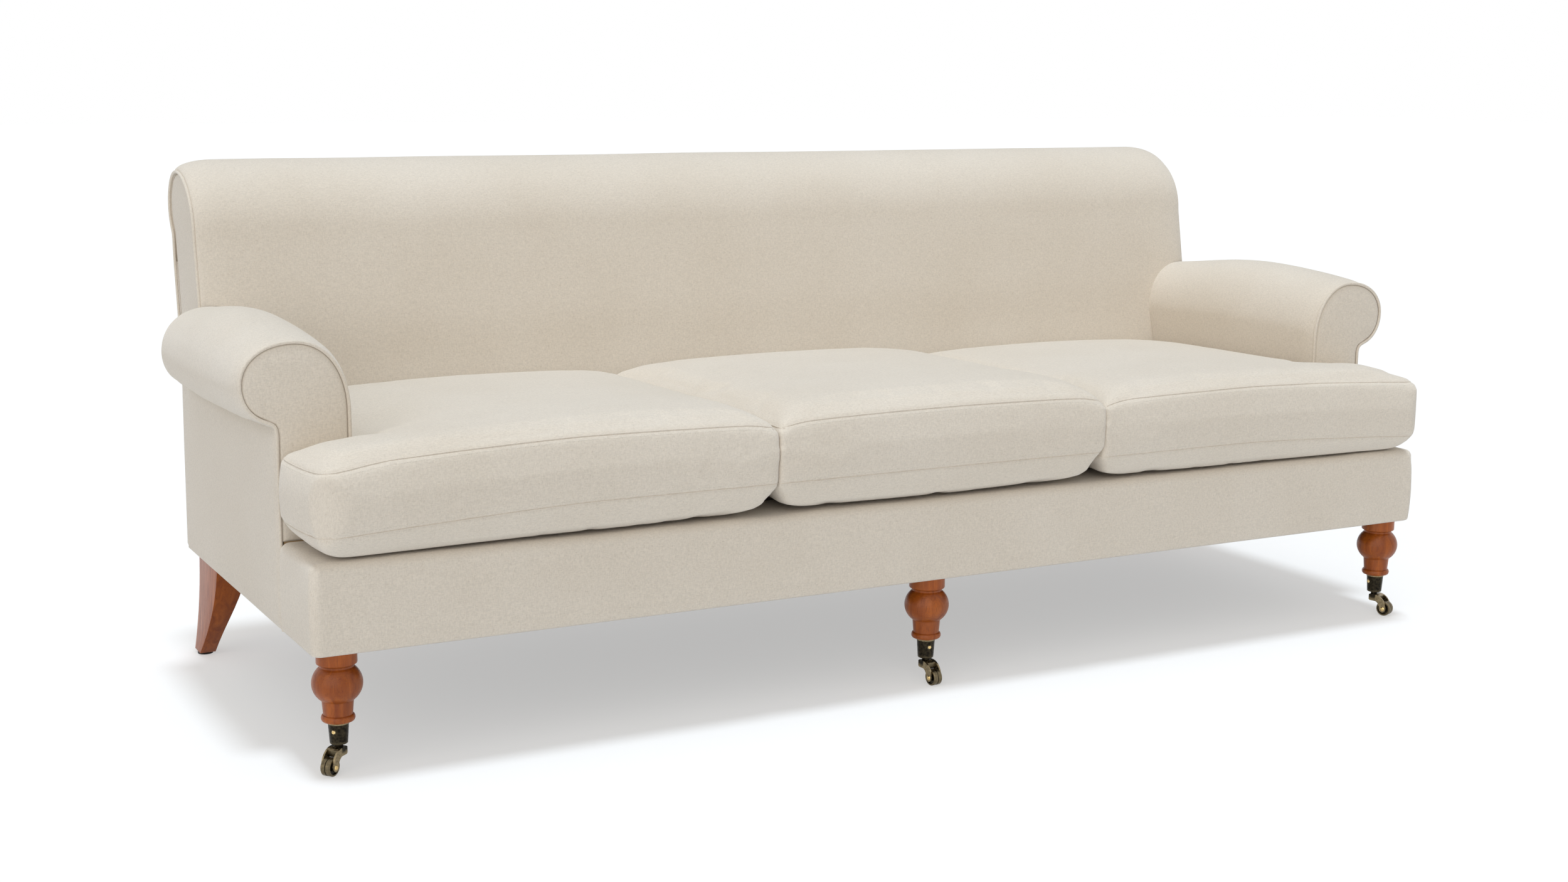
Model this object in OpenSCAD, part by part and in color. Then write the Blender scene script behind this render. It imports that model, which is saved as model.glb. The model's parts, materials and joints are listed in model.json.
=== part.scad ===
// Three-seat sofa: rolled arms set back behind T-shaped seat cushions, a tight scroll back,
// turned front legs on brass cup casters and tapered rear legs. Millimetres, +Z up, front
// towards -Y, origin on the floor under the middle of the sofa.

/* [Base] */
// Width of the base over its side covers
base_w = 2120; // [1700:10:2500]
// Depth of the base from the rail cover to the rear cover, at the underside
base_d = 787; // [760:1:830]
// Height of the base's underside above the floor
leg_h = 185.5; // [182:0.5:210]
// Height of the padded front rail from underside to top
border_h = 137; // [132:1:160]
// Padding and cover in front of the front rail
border_t = 12; // [8:1:16]
// Padding and cover on the flat outside panels
cover_t = 8; // [5:1:10]
// Radius on the front rail's upright corners and top edge
border_r = 15; // [6:1:18]
// Height of the seat deck above the underside of the base
deck_h = 152; // [148:1:170]
// Thickness of the dust cover under the frame
dust_t = 2; // [1:0.5:3]

/* [Frame] */
// Thickness of the hardwood front rail that carries the front legs
front_rail_t = 50; // [44:1:60]
// Height of the base rails
rail_h = 110; // [90:1:114]
// Thickness of the side rails
side_rail_t = 19; // [15:1:22]
// Thickness of the rear rail and of the rails of the back
rear_rail_t = 32; // [22:1:40]
// Thickness of the back posts across the sofa
post_t = 40; // [34:1:46]
// Depth of the back posts from front edge to rear edge
post_d = 75; // [64:1:84]
// Thickness of the arm stumps
stump_t = 32; // [22:1:40]
// Padding between an arm stump's edge and the cover
stump_pad = 15; // [12:1:20]
// Thickness of the padded inside wall of an arm
arm_wall_t = 30; // [20:1:36]
// Width of the rail that carries an arm roll
arm_rail_w = 42; // [30:1:50]
// Height of the rail that carries an arm roll
arm_rail_h = 80; // [50:1:90]
// Width of the middle rail under the seat
centre_rail_w = 38; // [24:1:50]
// Leg of the triangular corner blocks
block_leg = 80; // [50:1:90]
// Height of the corner blocks
block_h = 90; // [60:1:100]
// Width of the two upright members inside the back
mid_post_w = 36; // [24:1:50]
// Height of the rail at the foot of the back
tack_rail_h = 70; // [50:1:90]
// Depth of the rail inside the scroll of the back
top_rail_h = 115; // [90:1:120]

/* [Suspension] */
// Diameter of the spring wire
wire_d = 3.5; // [3:0.5:4.5]
// Width of one zigzag seat spring
spring_w = 50; // [36:1:60]
// Number of springs under each seat
springs_per_seat = 3; // [2:1:4]
// Number of turns along one spring
spring_turns = 20; // [12:2:24]
// Thickness of the metal clips that hold the springs
clip_t = 1.5; // [1:0.5:2]
// Width of the webbing straps in the back
strap_w = 50; // [40:1:60]
// Thickness of the webbing straps
strap_t = 2; // [1:0.5:3]
// Number of upright straps in the back
strap_count = 9; // [5:2:11]

/* [Arms] */
// Width of an arm at the base, from the inside face to the outside panel
arm_w = 115; // [105:1:130]
// Distance from the front rail's face back to the arm's front panel
arm_setback = 163; // [140:1:190]
// Height of the roll's seam at its crest above the base's underside
arm_rise = 439; // [425:1:470]
// Distance from the arm's inside face out to the crest of the roll
roll_peak = 85; // [75:1:92]
// Distance that the roll stands out past the outside panel
roll_out = 53; // [44:1:60]
// Drop from the crest to where the inside face begins to curve over
roll_shoulder = 112; // [95:1:125]
// Drop from the crest to the roll's widest point
roll_drop = 66; // [58:1:74]
// Drop from the roll's widest point to its underside
roll_under = 58; // [48:1:64]
// Height left under the roll for its tuck onto the outside panel
roll_tuck = 6; // [4:1:10]
// How far the roll rises at mid-length above its front seam
roll_crown = 19; // [0:1:26]
// How far the roll swells outwards at mid-length
roll_swell = 3; // [0:1:8]
// Distance from the base's rear face to the end of the roll
roll_end_gap = 84; // [60:2:110]
// Rounding of the roll's rear end
roll_end_r = 24; // [12:1:30]
// How far the roll bulges past its front seam on the outside
roll_bulge = 5; // [0:1:8]
// How far the roll bulges past its front seam on the inside
inner_bulge = 9; // [0:1:12]
// How far the roll's outer side sags towards the rear
end_sag = 12; // [0:1:16]
// Thickness of the stiffened front panel of an arm
arm_panel_t = 5; // [4:0.5:7]
// Diameter of the welt cord
welt_d = 4.8; // [3:0.2:4.8]

/* [Back] */
// Overall height of the sofa
overall_h = 858.5; // [835:0.5:890]
// Distance that each end of the back is set in from the base's side
back_inset = 19; // [12:1:26]
// Thickness of the back at deck height, measured to the base's rear face
back_foot_t = 156; // [140:1:170]
// Rake of the inside face of the back, in degrees
front_rake = 10.2; // [8:0.1:11]
// Rake of the outside face of the back, in degrees
rear_rake = 9.2; // [8:0.1:11]
// Radius of the scroll along the top, as a share of the back's height above the deck
scroll_r_share = 0.1574; // [0.14:0.001:0.17]
// Distance from the base's rear face back to the scroll's centre, as such a share
scroll_set_share = 0.0787; // [0.065:0.001:0.092]
// Drop from the top to where the inside face begins to curve back, as such a share
scroll_front_share = 0.2476; // [0.21:0.001:0.29]
// Drop from the top to the seam of scroll and outside panel, as such a share
scroll_nape_share = 0.3436; // [0.33:0.001:0.38]
// Width over which each end of the back rounds down to its welt
end_run = 60; // [20:1:70]
// Drop of the top over that width
end_drop = 18; // [4:1:22]
// How far the inside face rounds back over that width
end_back = 9; // [3:1:14]

/* [Cushions] */
// Distance that the cushions overhang the front rail
cushion_overhang = 29; // [10:1:40]
// Height from the deck to the lower seam
cushion_foot = 42; // [34:1:50]
// Width of the boxing between the two seams
cushion_band = 97; // [80:1:104]
// Height of the middle cushion's crown above its upper seam
cushion_crown = 26; // [10:1:34]
// Height of the outer cushions' crowns
outer_crown = 20; // [10:1:34]
// How far a cushion's top falls towards the back
cushion_fall = 8; // [0:1:14]
// Gap between the cushions' undersides and the front rail's top edge
front_gap = 7; // [0.5:0.5:10]
// How much lower the seams of the right cushion lie
right_settle = 9; // [0:1:12]
// Distance over which the crown rises
crown_run = 170; // [110:5:220]
// Distance over which the underside rounds down to the deck
foot_run = 45; // [35:5:90]
// How far the sides draw in between the corners
side_draw = 5; // [0:1:8]
// How far the front boxing swells past its seams
band_swell = 6; // [0:1:8]
// Reach of the outer cushions' ears past the arm's inside face
ear_reach = 102; // [90:1:108]
// Sag at the outer end of an ear
ear_droop = 13; // [0:1:16]
// Rounding of an ear's front corner
ear_corner = 14; // [0:1:20]
// Rise of the upper seam between the corners
seam_bow = 5; // [0:1:8]
// Gap between neighbouring cushions, and between cushion and arm
cushion_gap = 1; // [0.8:0.2:4]

/* [Front legs] */
// Distance from the base's side in to the outer legs
leg_inset = 45; // [40:1:80]
// Distance from the rail cover's face back to the legs
leg_set = 39; // [36:1:50]
// Radius of the collar at the top of a leg
collar_r = 30; // [26:1:34]
// Height of the collar
collar_h = 20; // [12:1:24]
// Radius of the ball
ball_r = 37.5; // [34:0.5:42]
// Half-height of the ball
ball_rise = 33.5; // [30:0.5:36]
// Height of the ball's centre above the floor
ball_z = 135.5; // [133:0.5:140]
// Radius of the cove above the ball
cove_r = 25.2; // [22:0.2:27]
// Radius of the neck below the ball
neck_r = 23.4; // [20:0.2:26]
// Radius of the neck above the bead
ankle_r = 21.6; // [19:0.2:23]
// Radius of the bead above the cup
bead_r = 25; // [23:0.5:28]
// Radius of the hanger bolts
bolt_r = 4; // [3:0.5:5]
// Length of a hanger bolt on each side of the joint
bolt_l = 45; // [30:1:60]

/* [Casters] */
// Height of the cup's rim above the floor
cup_top = 76; // [74:0.5:78]
// Height of the cup's underside above the floor
cup_bottom = 43.5; // [43:0.5:46]
// Outer radius of the cup at its rim
cup_r = 15.4; // [15:0.2:18]
// Outer radius of the cup at its underside
cup_foot_r = 13.3; // [12.5:0.2:14.5]
// Wall of the cup
cup_wall = 2; // [1.5:0.1:2.4]
// Floor of the cup
cup_floor = 5; // [4:0.5:6]
// Radius of the swivel stem
stem_r = 4; // [3:0.5:5]
// Radius of the shoulder between fork and cup
shoulder_r = 6; // [5:0.5:9]
// Distance from the stem to the axle
trail = 23.5; // [22:0.5:28]
// Radius of the wheel
wheel_r = 13.7; // [13:0.1:15]
// Width of the wheel
wheel_w = 16; // [12:1:18]
// Radius of the axle
axle_r = 2.5; // [2:0.5:3]
// Thickness of each fork arm
fork_arm_t = 2.8; // [2:0.2:4]
// Height of the fork's top above the floor
fork_top = 39.5; // [38:0.5:41]
// Height of the stem block
fork_block_h = 12.5; // [10:0.5:14]
// Direction of each caster's trail, left to right, in degrees from +X
trail_angles = [-142, -84, -70];
// Direction of each cup screw, left to right, in degrees from +X
screw_angles = [-136, -96, -186];

/* [Rear legs] */
// Distance from the base's side in to a rear leg's outside face
rear_leg_inset = 19; // [12:1:24]
// Distance from the base's rear face in to a rear leg
rear_leg_set = 9; // [4:1:14]
// Width of a rear leg at the top, across the sofa
rear_top_w = 52; // [46:1:60]
// Depth of a rear leg at the top
rear_top_d = 128; // [100:1:140]
// Width of a rear leg at the foot
rear_foot_w = 27; // [24:1:34]
// Depth of a rear leg at the foot
rear_foot_d = 38; // [30:1:44]
// Outward splay at the foot
rear_splay = 14; // [0:1:18]
// Radius of the glide under a rear leg
glide_r = 13; // [10:0.5:13]
// Thickness of the glide
glide_t = 5; // [3:0.5:7]
// Radius of the rear leg bolts
rear_bolt_r = 3; // [2.5:0.5:4]

/* [Hidden] */
// Clearances: between moving bodies, between soft neighbours, and in a running fit
soft_gap = 0.3;
run_gap = 0.05;
over = 1;
$fn = 48;

base_half = base_w / 2;
arm_in = base_half - arm_w;
seat_half = arm_in - cushion_gap / 2;
back_half = base_half - back_inset;
under_z = leg_h;
rail_z = under_z + dust_t;
rail_top = rail_z + rail_h;
border_top = under_z + border_h;
deck_top = under_z + deck_h;
wire_top = rail_top + wire_d;
deck_bottom = wire_top + clip_t + soft_gap;
side_in = base_half - cover_t;
rail_in = side_in - side_rail_t;
post_out = back_half - cover_t;
post_in = post_out - post_t;
front_rail_back = border_t + front_rail_t;

// The sofa is drawn from the front rail's face, then moved so that the origin is central
back_rise = overall_h - deck_top;
seat_d = base_d - back_foot_t;
scroll_r = back_rise * scroll_r_share;
scroll_set = back_rise * scroll_set_share;
scroll_front = back_rise * scroll_front_share;
scroll_nape = back_rise * scroll_nape_share;
scroll_y = base_d + scroll_set;
y_shift = -(scroll_y + scroll_r - cushion_overhang) / 2;

// Faces of the back as functions of height
function front_y(z) = seat_d + (z - deck_top) * tan(front_rake);
function rear_y(z) = base_d + (z - under_z) * tan(rear_rake);
function wood_y(z) = rear_y(z) - cover_t;
function post_y(z) = wood_y(z) - post_d;

scroll_z = overall_h - scroll_r;
crown_z = overall_h - scroll_front;
nape_z = overall_h - scroll_nape;
nape_turn = 50;
head_pad = 20;
pad_bottom = border_top - (border_top - rail_top) * 0.7;

arm_h = under_z + arm_rise;
roll_x = base_half + roll_out;
peak_x = arm_in + roll_peak;
shoulder_z = arm_h - roll_shoulder;
widest_z = arm_h - roll_drop;
roll_base_z = widest_z - roll_under;
tuck_z = roll_base_z - roll_tuck;
panel_y = arm_setback + arm_panel_t;
roll_end = base_d - roll_end_gap;
stump_back = panel_y + stump_t;
panel_lean = 12;
panel_rear = base_d - panel_lean;
tuck_step = 8;
tuck_fold = 2;
arm_rail_top = tuck_z + 17 / 80 * arm_rail_h;
welt_r = welt_d / 2;

seam_low = deck_top + cushion_foot;
seam_high = seam_low + cushion_band;
seat_third = seat_half / 3;

leg_spots = [-(base_half - leg_inset), 0, base_half - leg_inset];
rear_leg_x = base_half - rear_leg_inset;
rear_leg_y = base_d - rear_leg_set;
rear_bolt_x = (post_in + post_out) / 2;

linen = [0.86, 0.82, 0.74];
frame_wood = [0.78, 0.64, 0.44];
leg_wood = [0.52, 0.22, 0.09];
bronze = [0.30, 0.25, 0.17];
bright_brass = [0.80, 0.66, 0.36];
steel = [0.62, 0.63, 0.65];
felt = [0.80, 0.78, 0.74];
black_cloth = [0.16, 0.16, 0.17];

// Drawing helpers
module placed() translate([0, y_shift, 0]) children();

module handed(side) {
  if (side > 0) children();
  else mirror([1, 0, 0]) children();
}

// Extrudes an outline of (y, z) points from x0 to x1
module along_x(x0, x1) translate([x0, 0, 0]) rotate([90, 0, 90]) linear_extrude(x1 - x0) children();

// Extrudes an outline of (x, z) points from y0 to y1
module along_y(y0, y1) translate([0, y1, 0]) rotate([90, 0, 0]) linear_extrude(y1 - y0) children();

module block(low, high) translate(low) cube(high - low);

// Points of an elliptical arc, without its first point
function arc_points(centre, radii, from, to, count) = [
  for (i = [1:count])
    let (a = from + (to - from) * i / count)
    [centre.x + radii.x * cos(a), centre.y + radii.y * sin(a)]
];

// Closed skin through rings of equal count. The cap lists the first ring's faces; the last
// ring has the same ones turned round.
function reversed(list) = [for (i = [len(list) - 1:-1:0]) list[i]];
module loft(rings, cap) {
  n = len(rings[0]);
  m = len(rings);
  polyhedron(
    points = [for (ring = rings, point = ring) point],
    faces = concat(
      cap,
      [for (face = cap) [for (i = reversed(face)) (m - 1) * n + i]],
      [for (j = [0:m - 2], i = [0:n - 1])
        [j * n + i, (j + 1) * n + i, (j + 1) * n + (i + 1) % n]],
      [for (j = [0:m - 2], i = [0:n - 1])
        [j * n + i, (j + 1) * n + (i + 1) % n, j * n + (i + 1) % n]]
    )
  );
}

function unit(v) = v / norm(v);

// Round cord along a flat path; normal is square to the plane of the path
cord_sides = 6;
module cord(path, r, normal) {
  last = len(path) - 1;
  loft([
    for (i = [0:last])
      let (
        ahead = path[min(i + 1, last)] - path[max(i - 1, 0)],
        side = cross(unit(ahead), normal)
      )
      [for (k = [0:cord_sides - 1])
        let (a = 360 * k / cord_sides)
        path[i] + r * (cos(a) * normal + sin(a) * side)]
  ], [[for (k = [0:cord_sides - 1]) k]]);
}

// Outline of a flat strip of even width along a path of (x, y) points
function strip_edge(path, w) = [
  for (i = [0:len(path) - 1])
    let (
      before = unit(path[max(i, 1)] - path[max(i, 1) - 1]),
      after = unit(path[min(i, len(path) - 2) + 1] - path[min(i, len(path) - 2)]),
      mean = unit(before + after),
      out = [-mean.y, mean.x]
    )
    path[i] + out * w / 2 / (mean * after)
];

// Hardwood frame
module front_rail() color(frame_wood) placed() difference() {
  block([-rail_in, border_t, rail_z], [rail_in, front_rail_back, rail_top]);
  for (x = leg_spots)
    translate([x, leg_set, rail_z - over]) cylinder(r = bolt_r, h = bolt_l + over);
}

module rear_rail() color(frame_wood) placed() along_x(-post_in, post_in)
  polygon([
    [wood_y(rail_z) - rear_rail_t, rail_z], [wood_y(rail_z), rail_z],
    [wood_y(rail_top), rail_top], [wood_y(rail_top) - rear_rail_t, rail_top]
  ]);

module side_rail(side) color(frame_wood) placed() handed(side)
  block([rail_in, border_t, rail_z], [side_in, panel_rear - cover_t, rail_top]);

module centre_rail() color(frame_wood) placed()
  block(
    [-centre_rail_w / 2, front_rail_back, rail_z],
    [centre_rail_w / 2, wood_y(rail_z) - rear_rail_t, rail_top - wire_d]
  );

module corner_blocks() color(frame_wood) placed()
  for (side = [-1, 1]) handed(side) {
    translate([rail_in, front_rail_back, rail_z]) linear_extrude(block_h)
      polygon([[0, 0], [-block_leg, 0], [0, block_leg]]);
    translate([post_in, wood_y(rail_z) - rear_rail_t, rail_z]) linear_extrude(block_h)
      polygon([[0, 0], [-block_leg, 0], [0, -block_leg]]);
  }

// Outline of an arm in (x, z) from the inside foot over the roll to its tuck. The inset is
// measured in from the cover; bulge, rise, swell and sag shape the roll between its ends.
arc_steps = 8;
fullness = 0.93;
function full_arc(centre, radii, from, to, count) = [
  for (i = [1:count])
    let (
      a = from + (to - from) * i / count,
      c = cos(a),
      s = sin(a)
    )
    [centre.x + radii.x * sign(c) * pow(abs(c), fullness),
      centre.y + radii.y * sign(s) * pow(abs(s), fullness)]
];
function arm_outline(inset, foot_z, bulge = 0, rise = 0, swell = 0, sag = 0) = concat(
  [[arm_in + inset, foot_z], [arm_in + inset, shoulder_z - 2 * tuck_step]],
  full_arc([peak_x, shoulder_z],
    [roll_peak - inset + bulge, roll_shoulder - inset + rise], 180, 90, arc_steps),
  full_arc([peak_x, widest_z - sag],
    [roll_x - peak_x - inset + swell, roll_drop - inset + rise + sag], 90, 0, arc_steps),
  arc_points([base_half, widest_z - sag],
    [roll_out - inset + swell, roll_under - inset], 0, -82, arc_steps),
  [[max(base_half - inset, side_in + tuck_fold) + tuck_step / 2,
      roll_base_z - tuck_step / 3 - sag + inset],
    [max(base_half - inset, side_in + tuck_fold), tuck_z - sag]]
);

// Outline of a stump's inside edge and head, down to the given outer edge
function stump_outline(edge, foot_z) =
  let (line = arm_outline(stump_pad, foot_z))
  concat([for (i = [0:len(line) - 3]) line[i]], [[edge, arm_rail_top]]);

module arm_stump(side) color(frame_wood) placed() handed(side) along_y(panel_y, stump_back)
  polygon(concat(
    stump_outline(side_in, rail_z),
    [[side_in, rail_top], [rail_in, rail_top], [rail_in, rail_z]]
  ));

module arm_rail(side) color(frame_wood) placed() handed(side)
  along_x(side_in - arm_rail_w, side_in)
    polygon([
      [stump_back, arm_rail_top - arm_rail_h],
      [post_y(arm_rail_top - arm_rail_h), arm_rail_top - arm_rail_h],
      [post_y(arm_rail_top), arm_rail_top],
      [stump_back, arm_rail_top]
    ]);

// Frame of the back
module back_post(side) color(frame_wood) placed() handed(side) difference() {
  along_x(post_in, post_out)
    polygon(concat([[wood_y(rail_z), rail_z], [post_y(rail_z), rail_z]], post_head()));
  for (y = rear_bolt_spots)
    translate([rear_bolt_x, y, rail_z - over]) cylinder(r = rear_bolt_r, h = bolt_l + over);
}

// Head of a back post, which follows the scroll inside its padding
function post_head() = concat(
  [[post_y(nape_z), nape_z], [post_y(crown_z), crown_z]],
  arc_points([scroll_y, crown_z],
    [scroll_y - post_y(crown_z), scroll_front - head_pad], 180, 90, arc_steps),
  arc_points([scroll_y, scroll_z],
    [scroll_r - head_pad, scroll_r - head_pad], 90, -nape_turn, arc_steps),
  [[wood_y(nape_z), nape_z]]
);

module back_mid_posts() color(frame_wood) placed()
  for (x = [-seat_third, seat_third])
    along_x(x - mid_post_w / 2, x + mid_post_w / 2)
      polygon([
        [post_y(tack_top), tack_top], [post_y(tack_top) + rear_rail_t, tack_top],
        [post_y(nape_z) + rear_rail_t, nape_z], [post_y(nape_z), nape_z]
      ]);

module back_top_rail() color(frame_wood) placed() along_x(-post_in, post_in)
  polygon([
    [post_y(nape_z), nape_z], [post_y(nape_z) + rear_rail_t, nape_z],
    [post_y(nape_z + top_rail_h) + rear_rail_t, nape_z + top_rail_h],
    [post_y(nape_z + top_rail_h), nape_z + top_rail_h]
  ]);

tack_bottom = rail_top + 25 / 70 * tack_rail_h;
tack_top = tack_bottom + tack_rail_h;
module back_tack_rail() color(frame_wood) placed() along_x(-post_in, post_in)
  polygon([
    [post_y(tack_bottom), tack_bottom], [post_y(tack_bottom) + rear_rail_t, tack_bottom],
    [post_y(tack_top) + rear_rail_t, tack_top], [post_y(tack_top), tack_top]
  ]);

// Suspension
clip_w = wire_d * 5;
clip_l = wire_d * 6;
spring_front = border_t + front_rail_t / 2;
spring_rear = wood_y(rail_top) - rear_rail_t / 2;
spring_pitch = (spring_rear - spring_front - 2 * clip_l) / spring_turns;
spring_bend = spring_w / 6;
function spring_path(x) = concat(
  [[x, spring_front], [x, spring_front + clip_l * 0.8]],
  [for (k = [0:spring_turns - 1])
    let (s = k % 2 == 0 ? 1 : -1, y = spring_front + clip_l + spring_pitch * k)
    for (step = [
      [spring_w / 2 - spring_bend, spring_pitch / 5],
      [spring_w / 2, spring_pitch / 2],
      [spring_w / 2 - spring_bend, spring_pitch * 4 / 5]
    ])
    [x + s * step.x, y + step.y]],
  [[x, spring_rear - clip_l * 0.8], [x, spring_rear]]
);
seat_spots = [
  for (seat = [-1, 0, 1], i = [0:springs_per_seat - 1])
    seat * 2 * seat_third + (i - (springs_per_seat - 1) / 2) * 2 * seat_third / springs_per_seat
];
module seat_springs() color(steel) placed()
  for (x = seat_spots) {
    path = spring_path(x);
    translate([0, 0, rail_top]) linear_extrude(wire_d)
      polygon(concat(strip_edge(path, wire_d), reversed(strip_edge(path, -wire_d))));
  }

module spring_clips() color(steel) placed()
  for (x = seat_spots, y = [spring_front, spring_rear])
    translate([x - clip_w / 2, y - clip_l / 2, rail_top]) difference() {
      cube([clip_w, clip_l, wire_d + clip_t]);
      translate([wire_d, -over, -over]) cube([clip_w - 2 * wire_d, clip_l + 2 * over, wire_d + over]);
    }

module back_webbing() color(black_cloth) placed() {
  for (i = [0:strap_count - 1]) {
    x = -post_in + 2 * post_in * (i + 0.5) / strap_count;
    along_x(x - strap_w / 2, x + strap_w / 2)
      polygon([
        [post_y(tack_bottom) - strap_t, tack_bottom], [post_y(tack_bottom), tack_bottom],
        [post_y(nape_z + strap_w), nape_z + strap_w],
        [post_y(nape_z + strap_w) - strap_t, nape_z + strap_w]
      ]);
  }
  for (share = [1 / 3, 2 / 3]) {
    z = tack_top + (nape_z - tack_top) * share;
    along_x(arm_rail_w + soft_gap - side_in, side_in - arm_rail_w - soft_gap)
      polygon([
        [post_y(z) - 2 * strap_t, z], [post_y(z) - strap_t, z],
        [post_y(z + strap_w) - strap_t, z + strap_w],
        [post_y(z + strap_w) - 2 * strap_t, z + strap_w]
      ]);
  }
}

module seat_deck() color(felt) placed() along_x(-arm_in + soft_gap, arm_in - soft_gap)
  polygon([
    [arm_setback + soft_gap, deck_bottom], [front_y(deck_bottom) - soft_gap, deck_bottom],
    [front_y(deck_top) - soft_gap, deck_top], [arm_setback + soft_gap + border_r, deck_top],
    [arm_setback + soft_gap, border_top]
  ]);

module dust_cover() color(black_cloth) placed() difference() {
  block([-side_in, border_t, under_z], [side_in, wood_y(under_z), rail_z]);
  for (x = leg_spots)
    translate([x, leg_set, under_z - over]) cylinder(r = bolt_r, h = dust_t + 2 * over);
  for (side = [-1, 1], y = rear_bolt_spots)
    translate([side * rear_bolt_x, y, under_z - over])
      cylinder(r = rear_bolt_r, h = dust_t + 2 * over);
}

// Front rail cover: a padded shell with rounded corners and a lip that ends at the arms
module front_border() color(linen) placed() difference() {
  intersection() {
    translate([0, 0, under_z]) linear_extrude(border_h) rounded_front(base_half, arm_setback);
    along_x(-base_half, base_half) polygon(concat(
      [[arm_setback, border_top], [arm_setback, under_z], [0, under_z], [0, border_top - border_r]],
      arc_points([border_r, border_top - border_r], [border_r, border_r], 180, 90, arc_steps)
    ));
    along_y(0, arm_setback) polygon(concat(
      [[-base_half, under_z], [base_half, under_z], [base_half, border_top - border_r]],
      arc_points([base_half - border_r, border_top - border_r], [border_r, border_r], 0, 90,
        arc_steps),
      arc_points([border_r - base_half, border_top - border_r], [border_r, border_r], 90, 180,
        arc_steps)
    ));
  }
  block([-side_in, border_t, under_z - over], [side_in, arm_setback + over, deck_bottom]);
}

module rounded_front(half, depth) polygon(concat(
  [[half, depth], [-half, depth]],
  arc_points([border_r - half, border_r], [border_r, border_r], 180, 270, arc_steps),
  arc_points([half - border_r, border_r], [border_r, border_r], 270, 360, arc_steps)
));

// Rolled arms: padding and cover in one piece, hollow below the roll, with a seat for the
// stump at the front and cut away where the back passes
roll_shares = [0, 0.035, 0.1, 0.22, 0.36, 0.5, 0.64, 0.78, 0.9, 1];
roll_rises = [0, 0.2, 0.42, 0.72, 0.94, 1, 0.82, 0.45, 0.08, -0.2];
roll_sags = [0, 0.15, 0.35, 0.6, 0.8, 0.9, 1, 1, 1, 1];
roll_bulges = [0, 0.7, 1, 1, 1, 1, 0.9, 0.8, 0.7, 0.6];
function arm_ring(y, i, inset) = [
  for (p = concat(
    arm_outline(inset, pad_bottom, inner_bulge * roll_bulges[i], roll_crown * roll_rises[i],
      roll_swell * roll_rises[i] + roll_bulge * roll_bulges[i] - end_sag * roll_shares[i] / 3,
      end_sag * roll_sags[i]),
    [[side_in, tuck_z - end_sag * roll_sags[i]], [side_in, arm_rail_top],
      [arm_in + arm_wall_t, arm_rail_top],
      [arm_in + arm_wall_t, pad_bottom]]
  )) [p.x, y, p.y]
];
roll_length = roll_end - roll_end_r - panel_y;
roll_last = len(roll_shares) - 1;
module arm_roll() loft(concat(
  [for (i = [0:roll_last]) arm_ring(panel_y + roll_length * roll_shares[i], i, 0)],
  [for (k = [1:4])
    let (a = 90 * k / 4)
    arm_ring(panel_y + roll_length + roll_end_r * sin(a), roll_last,
      roll_end_r * 0.7 * (1 - cos(a)))]
), arm_cap(len(arm_ring(0, 0, 0))));
// The cut end of an arm: its inside wall and its roll, each a fan from a corner of the hollow
function arm_cap(n) = concat(
  [[n - 2, n - 1, 0], [n - 2, 0, 1], [n - 2, 1, 2], [n - 3, n - 2, 2]],
  [for (i = [2:n - 5]) [n - 3, i, i + 1]]
);
module arm_pad(side) color(linen) placed() handed(side) difference() {
  arm_roll();
  along_y(panel_y - over, stump_back)
    polygon(concat(
      stump_outline(side_in + soft_gap, pad_bottom - over),
      [[side_in + soft_gap, pad_bottom - over]]
    ));
  along_x(arm_in - inner_bulge - over, back_half + soft_gap) polygon([
    [front_y(pad_bottom - over), pad_bottom - over], [base_d + roll_x, pad_bottom - over],
    [base_d + roll_x, overall_h], [front_y(overall_h), overall_h]
  ]);
}

// Stiffened panel on the front of an arm, inside its welt
panel_inset = welt_d + soft_gap;
module arm_front(side) color(linen) placed() handed(side) along_y(arm_setback, panel_y)
  polygon(concat(
    arm_outline(panel_inset, border_top),
    [[base_half - panel_inset, border_top]]
  ));

module arm_welt(side) color(linen) placed() handed(side) {
  loop = concat(
    arm_outline(welt_r, border_top + soft_gap),
    [[base_half - welt_r, under_z]]
  );
  cord([for (p = loop) [p.x, arm_setback + arm_panel_t / 2, p.y]], welt_r, [0, 1, 0]);
}

// Outside panel of an arm. Behind the roll it rises to a shelf, and a return closes the gap to
// the side of the back.
module arm_outside(side) color(linen) placed() handed(side) {
  shelf_z = arm_rail_top + soft_gap;
  shelf_y = roll_end + soft_gap;
  along_x(side_in, base_half) polygon(concat(
    [[panel_y, under_z], [base_d, under_z], [panel_rear, shelf_z + cover_t],
      [shelf_y, shelf_z + cover_t], [shelf_y, tuck_z - end_sag]],
    [for (i = [roll_last:-1:0])
      [panel_y + roll_length * roll_shares[i], tuck_z - end_sag * roll_sags[i]]]
  ));
  block([back_half + soft_gap, shelf_y, shelf_z], [side_in, panel_rear, shelf_z + cover_t]);
  along_x(back_half + soft_gap, side_in) polygon([
    [base_d - cover_t, under_z], [base_d, under_z],
    [panel_rear, shelf_z + cover_t], [panel_rear - cover_t, shelf_z + cover_t]
  ]);
}

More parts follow.
